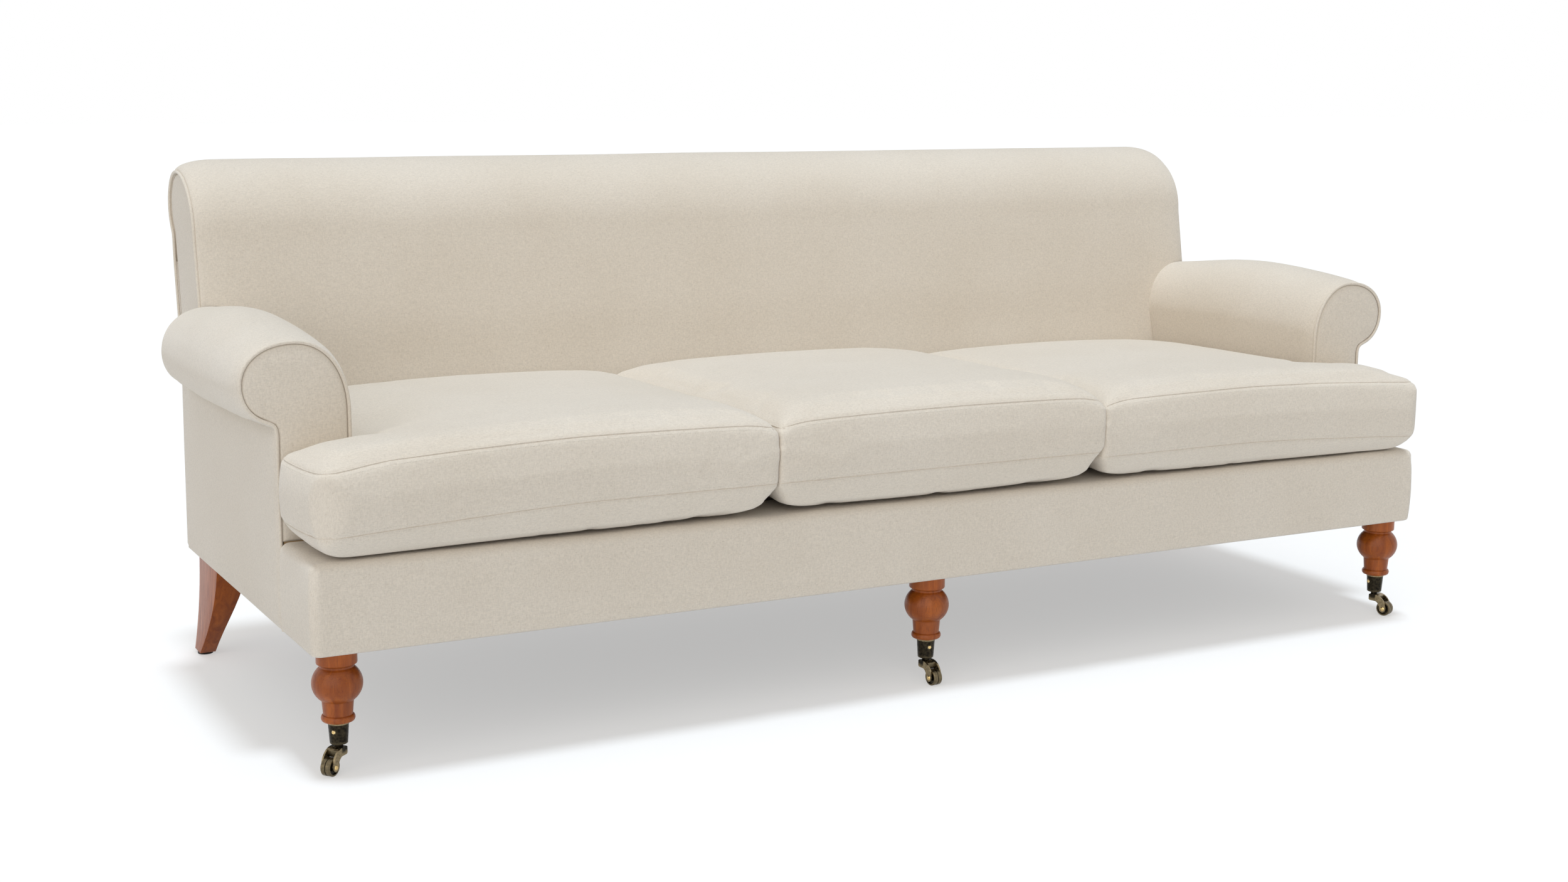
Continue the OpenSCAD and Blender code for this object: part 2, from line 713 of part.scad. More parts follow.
// Padded back: tight inside face, scroll over the top, ends rounded down to their welts
function back_outline(inset, drop, foot_z) = concat(
  [[front_y(foot_z) + inset, foot_z], [front_y(crown_z) + inset, crown_z]],
  arc_points([scroll_y, crown_z],
    [scroll_y - front_y(crown_z) - inset, scroll_front - drop], 180, 90, arc_steps + 2),
  arc_points([scroll_y, scroll_z], [scroll_r - drop, scroll_r - drop], 90, -nape_turn,
    arc_steps + 2),
  [[rear_y(nape_z), nape_z], [rear_y(foot_z), foot_z]]
);
function strap_face(z) = post_y(z) - 2 * strap_t - run_gap;
function rail_rear(z) = post_y(z) + rear_rail_t + run_gap;
module back_pad() color(linen) placed() difference() {
  steps = 4;
  loft(concat(
    [for (i = [0:steps]) let (a = 90 * i / steps)
      back_ring(back_half - end_run * (1 - cos(a)), 1 - sin(a))],
    [for (i = [steps:-1:0]) let (a = 90 * i / steps)
      back_ring(-back_half + end_run * (1 - cos(a)), 1 - sin(a))]
  ), back_cap(len(back_ring(0, 0))));
  along_x(-back_half - over, back_half + over) polygon([
    [strap_face(pad_bottom - over), pad_bottom - over],
    [rear_y(overall_h), pad_bottom - over], [rear_y(overall_h), nape_z],
    [strap_face(nape_z), nape_z]
  ]);
  along_x(-post_in, post_in) polygon([
    [strap_face(nape_z), nape_z], [post_y(nape_z), nape_z - over],
    [rail_rear(nape_z), nape_z - over], [rail_rear(nape_z), nape_z],
    [rail_rear(nape_z + top_rail_h), nape_z + top_rail_h + run_gap],
    [post_y(nape_z + top_rail_h) - run_gap, nape_z + top_rail_h + run_gap],
    [post_y(nape_z + strap_w) - run_gap, nape_z + strap_w + run_gap],
    [strap_face(nape_z + strap_w), nape_z + strap_w + run_gap]
  ]);
  for (side = [-1, 1]) handed(side) {
    along_x(post_in, back_half + over) polygon(post_head());
    along_x(post_out, back_half + over) polygon(side_outline());
    block([side_in - arm_rail_w - soft_gap, arm_setback, arm_rail_top - arm_rail_h - soft_gap],
      [base_half, rear_y(nape_z), side_foot]);
  }
}
function back_ring(x, fall) = [
  for (p = back_outline(end_back * fall, end_drop * fall, pad_bottom)) [x, p.x, p.y]
];
// The end of the back, a fan from the nape, which every other point of the outline faces
function back_cap(n) = concat([[n - 2, n - 1, 0]], [for (i = [0:n - 4]) [n - 2, i, i + 1]]);

// Flat end panels of the back and their welts
side_foot = arm_rail_top + soft_gap;
function side_edge(z) = front_y(z) + end_back + panel_inset;
function side_outline() = concat(
  [[side_edge(side_foot), side_foot], [side_edge(crown_z), crown_z]],
  arc_points([scroll_y, crown_z],
    [scroll_y - side_edge(crown_z), scroll_front - end_drop - panel_inset],
    180, 90, arc_steps + 2),
  arc_points([scroll_y, scroll_z],
    [scroll_r - end_drop - panel_inset, scroll_r - end_drop - panel_inset], 90, -nape_turn,
    arc_steps + 2),
  [[wood_y(nape_z), nape_z], [wood_y(rail_z), rail_z],
    [panel_rear - cover_t + soft_gap, rail_z], [panel_rear - cover_t + soft_gap, side_foot]]
);
module back_side(side) color(linen) placed() handed(side)
  along_x(post_out, back_half) polygon(side_outline());

function welt_y(z) = front_y(z) + end_back + welt_r;
module back_welt(side) color(linen) placed() handed(side) {
  edge = end_drop + welt_r;
  path = concat(
    [[welt_y(arm_h), arm_h], [welt_y(crown_z), crown_z]],
    arc_points([scroll_y, crown_z],
      [scroll_y - welt_y(crown_z), scroll_front - edge], 180, 90, arc_steps + 2),
    arc_points([scroll_y, scroll_z], [scroll_r - edge, scroll_r - edge], 90, -nape_turn,
      arc_steps + 2)
  );
  cord([for (p = path) [back_half + welt_r, p.x, p.y]], welt_r, [1, 0, 0]);
}

// Outside back panel
module back_outside() color(linen) placed() along_x(-back_half, back_half) polygon([
  [wood_y(under_z), under_z], [rear_y(under_z), under_z],
  [rear_y(nape_z), nape_z], [wood_y(nape_z), nape_z]
]);

// Crowned box cushion over a grid of (x, y) lines; cells outside its T shape are left out.
// The ear is the part past the arm's inside face, in front of the arm.
function rise_over(d, run) = d >= run ? 1 : 1 - pow(1 - d / run, 2.4);
function cushion_lines(low, high, shares) = [for (s = shares) low + (high - low) * s];
edge_shares = [0, 0.03, 0.09, 0.2, 0.35, 0.5, 0.65, 0.8, 0.91, 0.97, 1];
ear_shares = [0.12, 0.4, 0.7, 0.9, 1];
depth_shares = [0, 0.1, 0.3, 0.55, 0.8, 0.93, 1];
rest_shares = [0.04, 0.12, 0.26, 0.42, 0.58, 0.74, 0.88, 0.96, 1];

function floor_z(y) = border_top + front_gap
  + (deck_top + soft_gap - border_top - front_gap) * min(max(y / arm_setback, 0), 1);

module cushion(low_x, high_x, ear, crown_h, settle) {
  low_seam = seam_low - settle;
  high_seam = seam_high - settle;
  ear_x = arm_in + ear_reach;
  ear_y = arm_setback - cushion_gap;
  front = band_swell - cushion_overhang;
  rear_z = low_seam - (ear ? ear_droop * 1.4 : 0);
  rear = front_y(rear_z) - 3 * cushion_gap;
  xs = concat(cushion_lines(low_x, high_x, edge_shares),
    ear ? cushion_lines(high_x, ear_x, ear_shares) : []);
  ys = concat(cushion_lines(front, ear_y, depth_shares), cushion_lines(ear_y, rear, rest_shares));
  nx = len(xs);
  ny = len(ys);
  last_main = len(edge_shares) - 1;
  last_ear = len(depth_shares) - 1;
  function cell(i, j) =
    i >= 0 && j >= 0 && i < nx - 1 && j < ny - 1 && (i < last_main || j < last_ear);
  function sides(i, j) = [
    cell(i - 1, j) || cell(i - 1, j - 1) ? 0 : -1, cell(i, j) || cell(i, j - 1) ? 0 : 1,
    cell(i, j - 1) || cell(i - 1, j - 1) ? 0 : -1, cell(i, j) || cell(i - 1, j) ? 0 : 1
  ];
  function reach(i, j) =
    let (
      x = xs[i], y = ys[j],
      right = ear && y < ear_y ? ear_x - x : high_x - x,
      back = ear && x > high_x ? ear_y - y : rear - y,
      nook = ear ? norm([max(high_x - x, 0), max(ear_y - y, 0)]) : right + back,
      flank = min(max(x - low_x, 0), max(right, 0)),
      depth = min(max(y - front, 0), max(back, 0))
    )
    ear && x <= high_x && y <= ear_y ? [min(x - low_x, nook + over), min(y - front, nook + over)]
    : [flank, depth];
  sag_run = crown_run * 1.8;
  function sag(i) =
    ear ? ear_droop * pow(max(xs[i] - high_x + sag_run, 0) / (ear_reach + sag_run), 1.3) : 0;
  function bow(i) = seam_bow * sin(180 * (xs[i] - low_x) / (xs[nx - 1] - low_x));
  function corner(x, y) = ear && x > high_x
    ? ear_corner * pow(max(ear_y - y, 0) / (ear_y - front), 2) * (x - high_x) / ear_reach : 0;
  // Draws a side in between its corners
  function drawn(i, j) =
    let (
      x = xs[i], y = ys[j],
      u = (x - low_x) / (xs[nx - 1] - low_x), v = (y - front) / (rear - front),
      left_pull = side_draw * sin(180 * v) * max(1 - (x - low_x) / crown_run, 0),
      front_pull = side_draw * 0.6 * sin(180 * u) * max(1 - (y - front) / crown_run, 0)
    )
    [x - corner(x, y) + left_pull * (x < (low_x + high_x) / 2 ? 1 : 0)
      - (x > (low_x + high_x) / 2 && x <= high_x
        ? side_draw * sin(180 * v) * max(1 - (high_x - x) / crown_run, 0) * (ear ? 0 : 1) : 0),
      y + front_pull];
  function height(i, j, crown, run) =
    let (d = reach(i, j)) crown * sqrt(rise_over(d[0], run) * rise_over(d[1], run));
  function lean(j, z) = j == ny - 1 ? (z - rear_z) * tan(front_rake) : 0;
  function fall(j) = cushion_fall * max((ys[j] - arm_setback) / (rear - arm_setback), 0);
  function top(i, j) =
    let (p = drawn(i, j), seam_z = high_seam + bow(i) - sag(i) - fall(j))
    [p.x, p.y + lean(j, seam_z), seam_z + height(i, j, crown_h, crown_run)];
  function bottom(i, j) =
    let (p = drawn(i, j), seam_z = low_seam - sag(i) * 1.4)
    [p.x, p.y + lean(j, seam_z), seam_z - height(i, j, seam_z - floor_z(ys[j]), foot_run)];
  function middle(i, j) =
    let (
      p = drawn(i, j),
      z = (low_seam + high_seam + bow(i) - fall(j)) / 2 - sag(i) * 1.2,
      s = sides(i, j),
      puff = band_swell * sin(90 * min(1, 4 * (xs[i] - low_x) / (high_x - low_x) + 0.2))
    )
    [p.x + (s[1] > 0 && ear && xs[i] > high_x ? band_swell * 0.7 : 0),
      p.y + (s[2] < 0 ? -puff : 0) + lean(j, z), z];
  grid = nx * ny;
  function id(level, i, j) = level * grid + i * ny + j;
  polyhedron(
    points = concat(
      [for (i = [0:nx - 1], j = [0:ny - 1]) bottom(i, j)],
      [for (i = [0:nx - 1], j = [0:ny - 1]) middle(i, j)],
      [for (i = [0:nx - 1], j = [0:ny - 1]) top(i, j)]
    ),
    faces = concat(
      [for (i = [0:nx - 2], j = [0:ny - 2]) if (cell(i, j)) for (t = [
        [id(2, i, j), id(2, i, j + 1), id(2, i + 1, j + 1)],
        [id(2, i, j), id(2, i + 1, j + 1), id(2, i + 1, j)],
        [id(0, i, j), id(0, i + 1, j + 1), id(0, i, j + 1)],
        [id(0, i, j), id(0, i + 1, j), id(0, i + 1, j + 1)]
      ]) t],
      [for (i = [0:nx - 2], j = [0:ny - 2], level = [0, 1]) if (cell(i, j)) for (edge = [
        cell(i - 1, j) ? [] : [[i, j + 1], [i, j]],
        cell(i + 1, j) ? [] : [[i + 1, j], [i + 1, j + 1]],
        cell(i, j - 1) ? [] : [[i, j], [i + 1, j]],
        cell(i, j + 1) ? [] : [[i + 1, j + 1], [i, j + 1]]
      ]) if (len(edge) > 0)
        for (t = [
          [id(level, edge[0][0], edge[0][1]), id(level + 1, edge[1][0], edge[1][1]),
            id(level, edge[1][0], edge[1][1])],
          [id(level, edge[0][0], edge[0][1]), id(level + 1, edge[0][0], edge[0][1]),
            id(level + 1, edge[1][0], edge[1][1])]
        ]) t]
    )
  );
}

module seat_cushion(place) color(linen) placed() {
  inner = seat_third - cushion_gap / 2;
  if (place == 0) cushion(-inner, inner, false, cushion_crown, 0);
  else handed(place) cushion(inner + cushion_gap, arm_in - inner_bulge - cushion_gap, true,
    outer_crown, place > 0 ? right_settle : 0);
}

// Turned front leg with its tapered plug that fits the caster cup
plug_bottom = cup_bottom + cup_floor + 3 * soft_gap + stem_r;
function cup_outer(z) = cup_foot_r + (cup_r - cup_foot_r) * (z - cup_bottom) / (cup_top - cup_bottom);
function ball_edge(r) = ball_rise * sqrt(1 - pow(r / ball_r, 2));
cove_h = 4;
bead_h = 10;
bead_z = cup_top + 2 + bead_h / 2;
module leg_profile() polygon(concat(
  [[0, plug_bottom], [cup_outer(plug_bottom) - cup_wall, plug_bottom],
    [cup_outer(cup_top) - cup_wall, cup_top], [cup_r + 0.6 * cup_wall, cup_top],
    [ankle_r, bead_z - bead_h / 2]],
  arc_points([ankle_r, bead_z], [bead_r - ankle_r, bead_h / 2], -90, 90, 8),
  [[neck_r, ball_z - ball_edge(neck_r)]],
  [for (i = [1:16])
    let (
      low = -asin(ball_edge(neck_r) / ball_rise),
      high = asin(ball_edge(cove_r) / ball_rise),
      a = low + (high - low) * i / 16
    )
    [ball_r * cos(a), ball_z + ball_rise * sin(a)]],
  [[cove_r, under_z - collar_h - cove_h * 0.6], [collar_r - cove_h * 0.6, under_z - collar_h - cove_h * 0.2]],
  arc_points([collar_r - cove_h * 0.6, under_z - collar_h + cove_h * 0.4],
    [cove_h * 0.6, cove_h * 0.6], -90, 0, 4),
  [[collar_r, under_z], [0, under_z]]
));
module front_leg(i) color(leg_wood) placed() translate([leg_spots[i], leg_set, 0]) difference() {
  rotate_extrude($fn = 96) leg_profile();
  translate([0, 0, under_z - bolt_l]) cylinder(r = bolt_r, h = bolt_l + over);
  cup_screw_axis(i) cylinder(r = screw_r, h = screw_l);
}

// Screw through the wall of a cup into the leg
screw_r = 1.4;
screw_l = 13;
screw_head_r = 3;
screw_head_t = 0.9;
screw_share = 0.62;
screw_z = cup_bottom + (cup_top - cup_bottom) * screw_share;
head_seat = screw_head_r * (cup_r - cup_foot_r) / (cup_top - cup_bottom) + run_gap;
module cup_screw_axis(i)
  rotate([0, 0, screw_angles[i]]) translate([cup_outer(screw_z), 0, screw_z]) rotate([0, -90, 0])
    children();
module cup_screws() color(bright_brass) placed()
  for (i = [0:2]) translate([leg_spots[i], leg_set, 0]) cup_screw_axis(i) {
    translate([0, 0, -head_seat]) cylinder(r = screw_r, h = screw_l + head_seat);
    translate([0, 0, -screw_head_t - head_seat]) difference() {
      cylinder(r1 = screw_head_r * 0.8, r2 = screw_head_r, h = screw_head_t);
      translate([0, 0, -over]) cylinder(r = screw_r * 0.8, h = over + screw_head_t / 2);
    }
  }

module leg_bolts() color(steel) placed() {
  for (x = leg_spots)
    translate([x, leg_set, under_z - bolt_l]) cylinder(r = bolt_r, h = 2 * bolt_l + dust_t);
  for (side = [-1, 1], y = rear_bolt_spots)
    translate([side * rear_bolt_x, y, under_z - bolt_l])
      cylinder(r = rear_bolt_r, h = 2 * bolt_l + dust_t);
}

// Casters: the cup is fixed to the leg, the fork turns on its stem in the cup's floor
module caster_cup(i) color(bronze) placed() translate([leg_spots[i], leg_set, 0]) difference() {
  rotate_extrude($fn = 72) polygon([
    [stem_r + run_gap, cup_bottom], [cup_foot_r - cup_wall / 2, cup_bottom],
    [cup_foot_r, cup_bottom + cup_wall / 2], [cup_outer(cup_top - cup_wall), cup_top - cup_wall],
    [cup_r + cup_wall / 4, cup_top - cup_wall], [cup_r + cup_wall / 4, cup_top],
    [cup_outer(cup_top) - cup_wall, cup_top],
    [cup_outer(cup_bottom + cup_floor) - cup_wall, cup_bottom + cup_floor],
    [stem_r + run_gap, cup_bottom + cup_floor]
  ]);
  cup_screw_axis(i) translate([0, 0, -over]) cylinder(r = screw_r, h = screw_l);
}

// Side outline of the fork in (trail, height): stem block, curved arms, round ends
wheel_gap = 0.4;
fork_half = wheel_w / 2 + wheel_gap + fork_arm_t;
block_back = 5;
block_ahead = 6;
arm_end_r = 6.5;
block_round = 3;
function fork_outline() = concat(
  [[block_ahead, fork_top], [-block_back + block_round / 2, fork_top],
    [-block_back, fork_top - block_round / 2],
    [-block_back, fork_top - fork_block_h + block_round]],
  arc_points([block_round - block_back, fork_top - fork_block_h + block_round],
    [block_round, block_round], 180, 270, 4),
  arc_points([block_ahead, wheel_r],
    [trail - arm_end_r - block_ahead, fork_top - fork_block_h - wheel_r], 90, 0, 8),
  arc_points([trail, wheel_r], [arm_end_r, arm_end_r], 180, 360, 12),
  arc_points([block_ahead, wheel_r],
    [trail + arm_end_r - block_ahead, fork_top - wheel_r], 0, 90, 10)
);
module at_caster(i) placed() translate([leg_spots[i], leg_set, 0]) rotate([0, 0, trail_angles[i]])
  children();
module caster_fork(i) color(bronze) at_caster(i) difference() {
  union() {
    along_y(-fork_half, fork_half) polygon(fork_outline());
    translate([0, 0, fork_top - over])
      cylinder(r = shoulder_r, h = cup_bottom - soft_gap - fork_top + over);
    translate([0, 0, fork_top]) cylinder(r = stem_r, h = cup_bottom + cup_floor + soft_gap - fork_top + over);
    translate([0, 0, cup_bottom + cup_floor + soft_gap]) cylinder(r = stem_r * 1.6, h = stem_r / 2);
  }
  along_y(-fork_half + fork_arm_t, fork_half - fork_arm_t) union() {
    translate([trail, wheel_r]) circle(r = wheel_r + 3 * wheel_gap);
    translate([trail - wheel_r / 2, -over]) square([2 * trail, fork_top + 2 * over]);
  }
  translate([trail, -fork_half - over, wheel_r]) rotate([-90, 0, 0])
    cylinder(r = axle_r, h = 2 * (fork_half + over));
}

// Solid metal wheel with a hollowed face and a groove round its tread
wheel_groove = 1;
wheel_hub_r = 5.5;
module caster_wheel(i) color(bronze) at_caster(i)
  translate([trail, 0, wheel_r]) rotate([-90, 0, 0]) rotate_extrude($fn = 72) polygon([
    [axle_r + run_gap, -wheel_w / 2], [wheel_hub_r, -wheel_w / 2],
    [wheel_hub_r, -wheel_w / 2 + 2 * wheel_groove], [wheel_r - 3 * wheel_groove, -wheel_w / 2 + 2 * wheel_groove],
    [wheel_r - 3 * wheel_groove, -wheel_w / 2], [wheel_r - wheel_groove, -wheel_w / 2],
    [wheel_r, -wheel_w / 2 + wheel_groove], [wheel_r, -wheel_groove],
    [wheel_r - wheel_groove, 0],
    [wheel_r, wheel_groove], [wheel_r, wheel_w / 2 - wheel_groove],
    [wheel_r - wheel_groove, wheel_w / 2], [wheel_r - 3 * wheel_groove, wheel_w / 2],
    [wheel_r - 3 * wheel_groove, wheel_w / 2 - 2 * wheel_groove], [wheel_hub_r, wheel_w / 2 - 2 * wheel_groove],
    [wheel_hub_r, wheel_w / 2], [axle_r + run_gap, wheel_w / 2]
  ]);

axle_head_share = 1.6;
axle_head_t = 1.4;
module caster_axle(i) color(bright_brass) at_caster(i)
  translate([trail, 0, wheel_r]) rotate([-90, 0, 0]) {
    cylinder(r = axle_r, h = 2 * fork_half, center = true);
    for (end = [0, 180]) rotate([end, 0, 0]) translate([0, 0, fork_half])
      cylinder(r1 = axle_r * axle_head_share, r2 = axle_r, h = axle_head_t);
  }

// Tapered rear leg: its inside face sweeps out to a small splayed foot
rear_steps = 8;
rear_bolt_spots = [
  wood_y(rail_z) - post_d * 0.72, wood_y(rail_z) - post_d * 0.28
];
function leg_share(i) = i / rear_steps;
function leg_level(i) = under_z - (under_z - glide_t) * leg_share(i);
function smooth_share(s) = s * s * (3 - 2 * s);
function rear_w(s) = rear_top_w - (rear_top_w - rear_foot_w) * smooth_share(min(s / 0.92, 1));
function rear_d(s) = rear_top_d - (rear_top_d - rear_foot_d) * pow(s, 1.65);
function splay_at(s) = rear_splay * s * s;
module rear_leg(side) color(leg_wood) placed() handed(side) difference() {
  intersection() {
    along_y(rear_leg_y - rear_top_d, rear_leg_y) polygon(concat(
      [for (i = [0:rear_steps]) [rear_leg_x + splay_at(leg_share(i)), leg_level(i)]],
      [for (i = [rear_steps:-1:0])
        [rear_leg_x + splay_at(leg_share(i)) - rear_w(leg_share(i)), leg_level(i)]]
    ));
    along_x(rear_leg_x - rear_top_w, rear_leg_x + rear_splay) polygon(concat(
      [[rear_leg_y, under_z], [rear_leg_y, glide_t]],
      [for (i = [rear_steps:-1:0]) [rear_leg_y - rear_d(leg_share(i)), leg_level(i)]]
    ));
  }
  for (y = rear_bolt_spots)
    translate([rear_bolt_x, y, under_z - bolt_l]) cylinder(r = rear_bolt_r, h = bolt_l + over);
}

module rear_glides() color(black_cloth) placed()
  for (side = [-1, 1])
    translate([side * (rear_leg_x + rear_splay - rear_foot_w / 2), rear_leg_y - rear_foot_d / 2, 0])
      cylinder(r = glide_r, h = glide_t);

front_rail();
rear_rail();
side_rail(-1);  // side_rail_left
side_rail(1);  // side_rail_right
centre_rail();
corner_blocks();
arm_stump(-1);  // arm_stump_left
arm_stump(1);  // arm_stump_right
arm_rail(-1);  // arm_rail_left
arm_rail(1);  // arm_rail_right
back_post(-1);  // back_post_left
back_post(1);  // back_post_right
back_mid_posts();
back_top_rail();
back_tack_rail();
seat_springs();
spring_clips();
back_webbing();
seat_deck();
front_border();
arm_pad(-1);  // arm_pad_left
arm_pad(1);  // arm_pad_right
arm_front(-1);  // arm_front_left
arm_front(1);  // arm_front_right
arm_outside(-1);  // arm_outside_left
arm_outside(1);  // arm_outside_right
arm_welt(-1);  // arm_welt_left
arm_welt(1);  // arm_welt_right
back_pad();
back_outside();
back_side(-1);  // back_side_left
back_side(1);  // back_side_right
back_welt(-1);  // back_welt_left
back_welt(1);  // back_welt_right
dust_cover();
seat_cushion(-1);  // seat_cushion_left
seat_cushion(0);  // seat_cushion_middle
seat_cushion(1);  // seat_cushion_right
front_leg(0);  // front_leg_left
front_leg(1);  // front_leg_middle
front_leg(2);  // front_leg_right
rear_leg(-1);  // rear_leg_left
rear_leg(1);  // rear_leg_right
rear_glides();
leg_bolts();
caster_cup(0);  // caster_cup_left
caster_cup(1);  // caster_cup_middle
caster_cup(2);  // caster_cup_right
cup_screws();
caster_fork(0);  // caster_fork_left
caster_fork(1);  // caster_fork_middle
caster_fork(2);  // caster_fork_right
caster_wheel(0);  // caster_wheel_left
caster_wheel(1);  // caster_wheel_middle
caster_wheel(2);  // caster_wheel_right
caster_axle(0);  // caster_axle_left
caster_axle(1);  // caster_axle_middle
caster_axle(2);  // caster_axle_right
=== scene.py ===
import json
import math

import bmesh
import bpy
import numpy as np
from mathutils import Matrix, Vector, noise
from mathutils.bvhtree import BVHTree
from mathutils.kdtree import KDTree


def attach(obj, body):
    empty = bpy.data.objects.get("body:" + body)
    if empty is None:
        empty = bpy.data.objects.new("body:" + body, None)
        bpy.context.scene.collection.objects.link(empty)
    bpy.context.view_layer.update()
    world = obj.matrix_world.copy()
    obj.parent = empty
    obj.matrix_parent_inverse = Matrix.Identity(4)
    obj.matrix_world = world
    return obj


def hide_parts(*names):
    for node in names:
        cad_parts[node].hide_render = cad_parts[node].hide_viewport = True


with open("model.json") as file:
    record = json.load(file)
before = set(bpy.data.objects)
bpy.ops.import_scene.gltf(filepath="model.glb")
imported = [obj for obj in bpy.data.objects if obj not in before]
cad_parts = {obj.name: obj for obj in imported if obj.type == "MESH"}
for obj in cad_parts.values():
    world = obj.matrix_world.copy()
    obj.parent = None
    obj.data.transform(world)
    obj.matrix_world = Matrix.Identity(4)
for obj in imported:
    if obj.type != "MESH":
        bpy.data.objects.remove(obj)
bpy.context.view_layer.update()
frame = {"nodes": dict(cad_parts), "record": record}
nodes = frame["nodes"]
print("frame loaded:", len(nodes), "nodes")

# The sofa is drawn as in the CAD: millimetres, with y counted from the border's front face
mm = 0.001
drawingShift = -440.5

cameraSpot = {"at": (-1.8576, -3.3211, 1.0341), "yaw": 0.4964, "pitch": 0.1782, "roll": 0.0089,
              "lens": 48.416, "filmWidth": 36, "reach": 200}
studio = {"sky": 0.42, "topSun": 0.56, "topSpread": 8, "topLean": (0.0, -0.02, 1),
          "topColour": (0.82, 0.915, 1.0), "frontSun": 0.335, "frontSpread": 75,
          "frontLean": (-0.95, -1, 0.50), "frontColour": (1.0, 0.95, 0.895), "floorAlbedo": 0.8,
          "floorGlow": 0.455, "glowColour": (1, 0.995, 0.985), "floorShade": 0.57, "floorHalf": 30}


def toFrame(point):
    return Vector((point[0], point[1] + drawingShift, point[2])) * mm


def rgb(values, factor=1.0):
    return (*(v * factor for v in values), 1.0)


def addObject(name, data):
    made = bpy.data.objects.new(name, data)
    bpy.context.scene.collection.objects.link(made)
    return made


def makeCamera():
    data = bpy.data.cameras.new("camera")
    data.lens, data.sensor_width, data.clip_end = (cameraSpot[k] for k in ("lens", "filmWidth", "reach"))
    yaw, pitch, roll = (cameraSpot[k] for k in ("yaw", "pitch", "roll"))
    level = math.cos(pitch)
    ahead = Vector((math.sin(yaw) * level, math.cos(yaw) * level, -math.sin(pitch)))
    right = Vector((math.cos(yaw), -math.sin(yaw), 0))
    up = right.cross(ahead)
    side = right * math.cos(roll) + up * math.sin(roll)
    top = up * math.cos(roll) - right * math.sin(roll)
    turn = Matrix((side, top, -ahead)).transposed()
    eye = addObject("camera", data)
    eye.matrix_world = Matrix.Translation(cameraSpot["at"]) @ turn.to_4x4()
    bpy.context.scene.camera = eye


def put(tree, kind, inputs=None, **settings):
    made = tree.nodes.new(kind)
    for key, value in settings.items():
        setattr(made, key, value)
    for key, value in (inputs or {}).items():
        if isinstance(value, bpy.types.NodeSocket):
            tree.links.new(value, made.inputs[key])
        else:
            made.inputs[key].default_value = value
    return made


def calc(tree, operation, *values, clamp=False):
    return put(tree, "ShaderNodeMath", dict(enumerate(values)), operation=operation,
               use_clamp=clamp).outputs[0]


def seenDirectly(tree):
    rays = put(tree, "ShaderNodeLightPath").outputs
    seen = calc(tree, "MAXIMUM", rays["Is Camera Ray"], rays["Is Glossy Ray"])
    return calc(tree, "MAXIMUM", seen, rays["Is Transmission Ray"])


def addSun(kind):
    data = bpy.data.lights.new(kind + "Light", "SUN")
    data.color = studio[kind + "Colour"]
    data.energy, data.angle = studio[kind + "Sun"] * math.pi, math.radians(studio[kind + "Spread"])
    lamp = addObject(kind + "Light", data)
    lamp.rotation_mode = "QUATERNION"
    lamp.rotation_quaternion = Vector(studio[kind + "Lean"]).to_track_quat("Z", "Y")


def emptyTree(owner):
    owner.use_nodes = True
    owner.node_tree.nodes.clear()
    return owner.node_tree


def makeStudio():
    world = bpy.data.worlds.new("studio")
    bpy.context.scene.world = world
    tree = emptyTree(world)
    level = calc(tree, "MULTIPLY_ADD", seenDirectly(tree), 1 - studio["sky"], studio["sky"])
    shade = put(tree, "ShaderNodeBackground", {"Color": (1, 1, 1, 1), "Strength": level})
    put(tree, "ShaderNodeOutputWorld", {"Surface": shade.outputs[0]})
    addSun("top")
    addSun("front")
    half = studio["floorHalf"]
    mesh = bpy.data.meshes.new("studioFloor")
    mesh.from_pydata([(-half, -half, 0), (half, -half, 0), (half, half, 0), (-half, half, 0)], [],
                     [(0, 1, 2, 3)])
    floor = addObject("studioFloor", mesh)
    paper = bpy.data.materials.new("whiteFloor")
    tree = emptyTree(paper)
    plain, lit = (put(tree, "ShaderNodeBsdfDiffuse", {"Color": rgb((studio[k],) * 3)}).outputs[0]
                  for k in ("floorAlbedo", "floorShade"))
    glow = put(tree, "ShaderNodeEmission",
               {"Color": rgb(studio["glowColour"]), "Strength": studio["floorGlow"]}).outputs[0]
    seen = put(tree, "ShaderNodeAddShader", {0: glow, 1: lit}).outputs[0]
    mixed = put(tree, "ShaderNodeMixShader", {0: seenDirectly(tree), 1: plain, 2: seen}).outputs[0]
    put(tree, "ShaderNodeOutputMaterial", {"Surface": mixed})
    mesh.materials.append(paper)


makeCamera()
makeStudio()
bpy.context.scene.view_settings.view_transform = "Standard"
print("camera and studio set")


def newGroup(name, inputs, outputs):
    tree = bpy.data.node_groups.new(name, "ShaderNodeTree")
    for label, kind, value in inputs:
        socket = tree.interface.new_socket(label, in_out="INPUT", socket_type="NodeSocket" + kind)
        if value is not None:
            socket.default_value = value
    for label in outputs:
        tree.interface.new_socket(label, in_out="OUTPUT", socket_type="NodeSocketFloat")
    return tree, put(tree, "NodeGroupInput").outputs


def noiseAt(tree, vector, scale, detail, distortion=0.0):
    return put(tree, "ShaderNodeTexNoise", {"Vector": vector, "Scale": scale, "Detail": detail,
                                            "Distortion": distortion}).outputs[0]


def ranged(tree, value, low, high, start=0.0, end=1.0):
    return put(tree, "ShaderNodeMapRange", {"Value": value, "From Min": low, "From Max": high,
                                            "To Min": start, "To Max": end}).outputs[0]


def scaled(tree, vector, factors):
    return put(tree, "ShaderNodeVectorMath", {0: vector, 1: factors}, operation="MULTIPLY").outputs[0]


def streaks(tree, vector, stretch, low, high):
    return ranged(tree, noiseAt(tree, scaled(tree, vector, stretch), 1.0, 2.0), low, high)


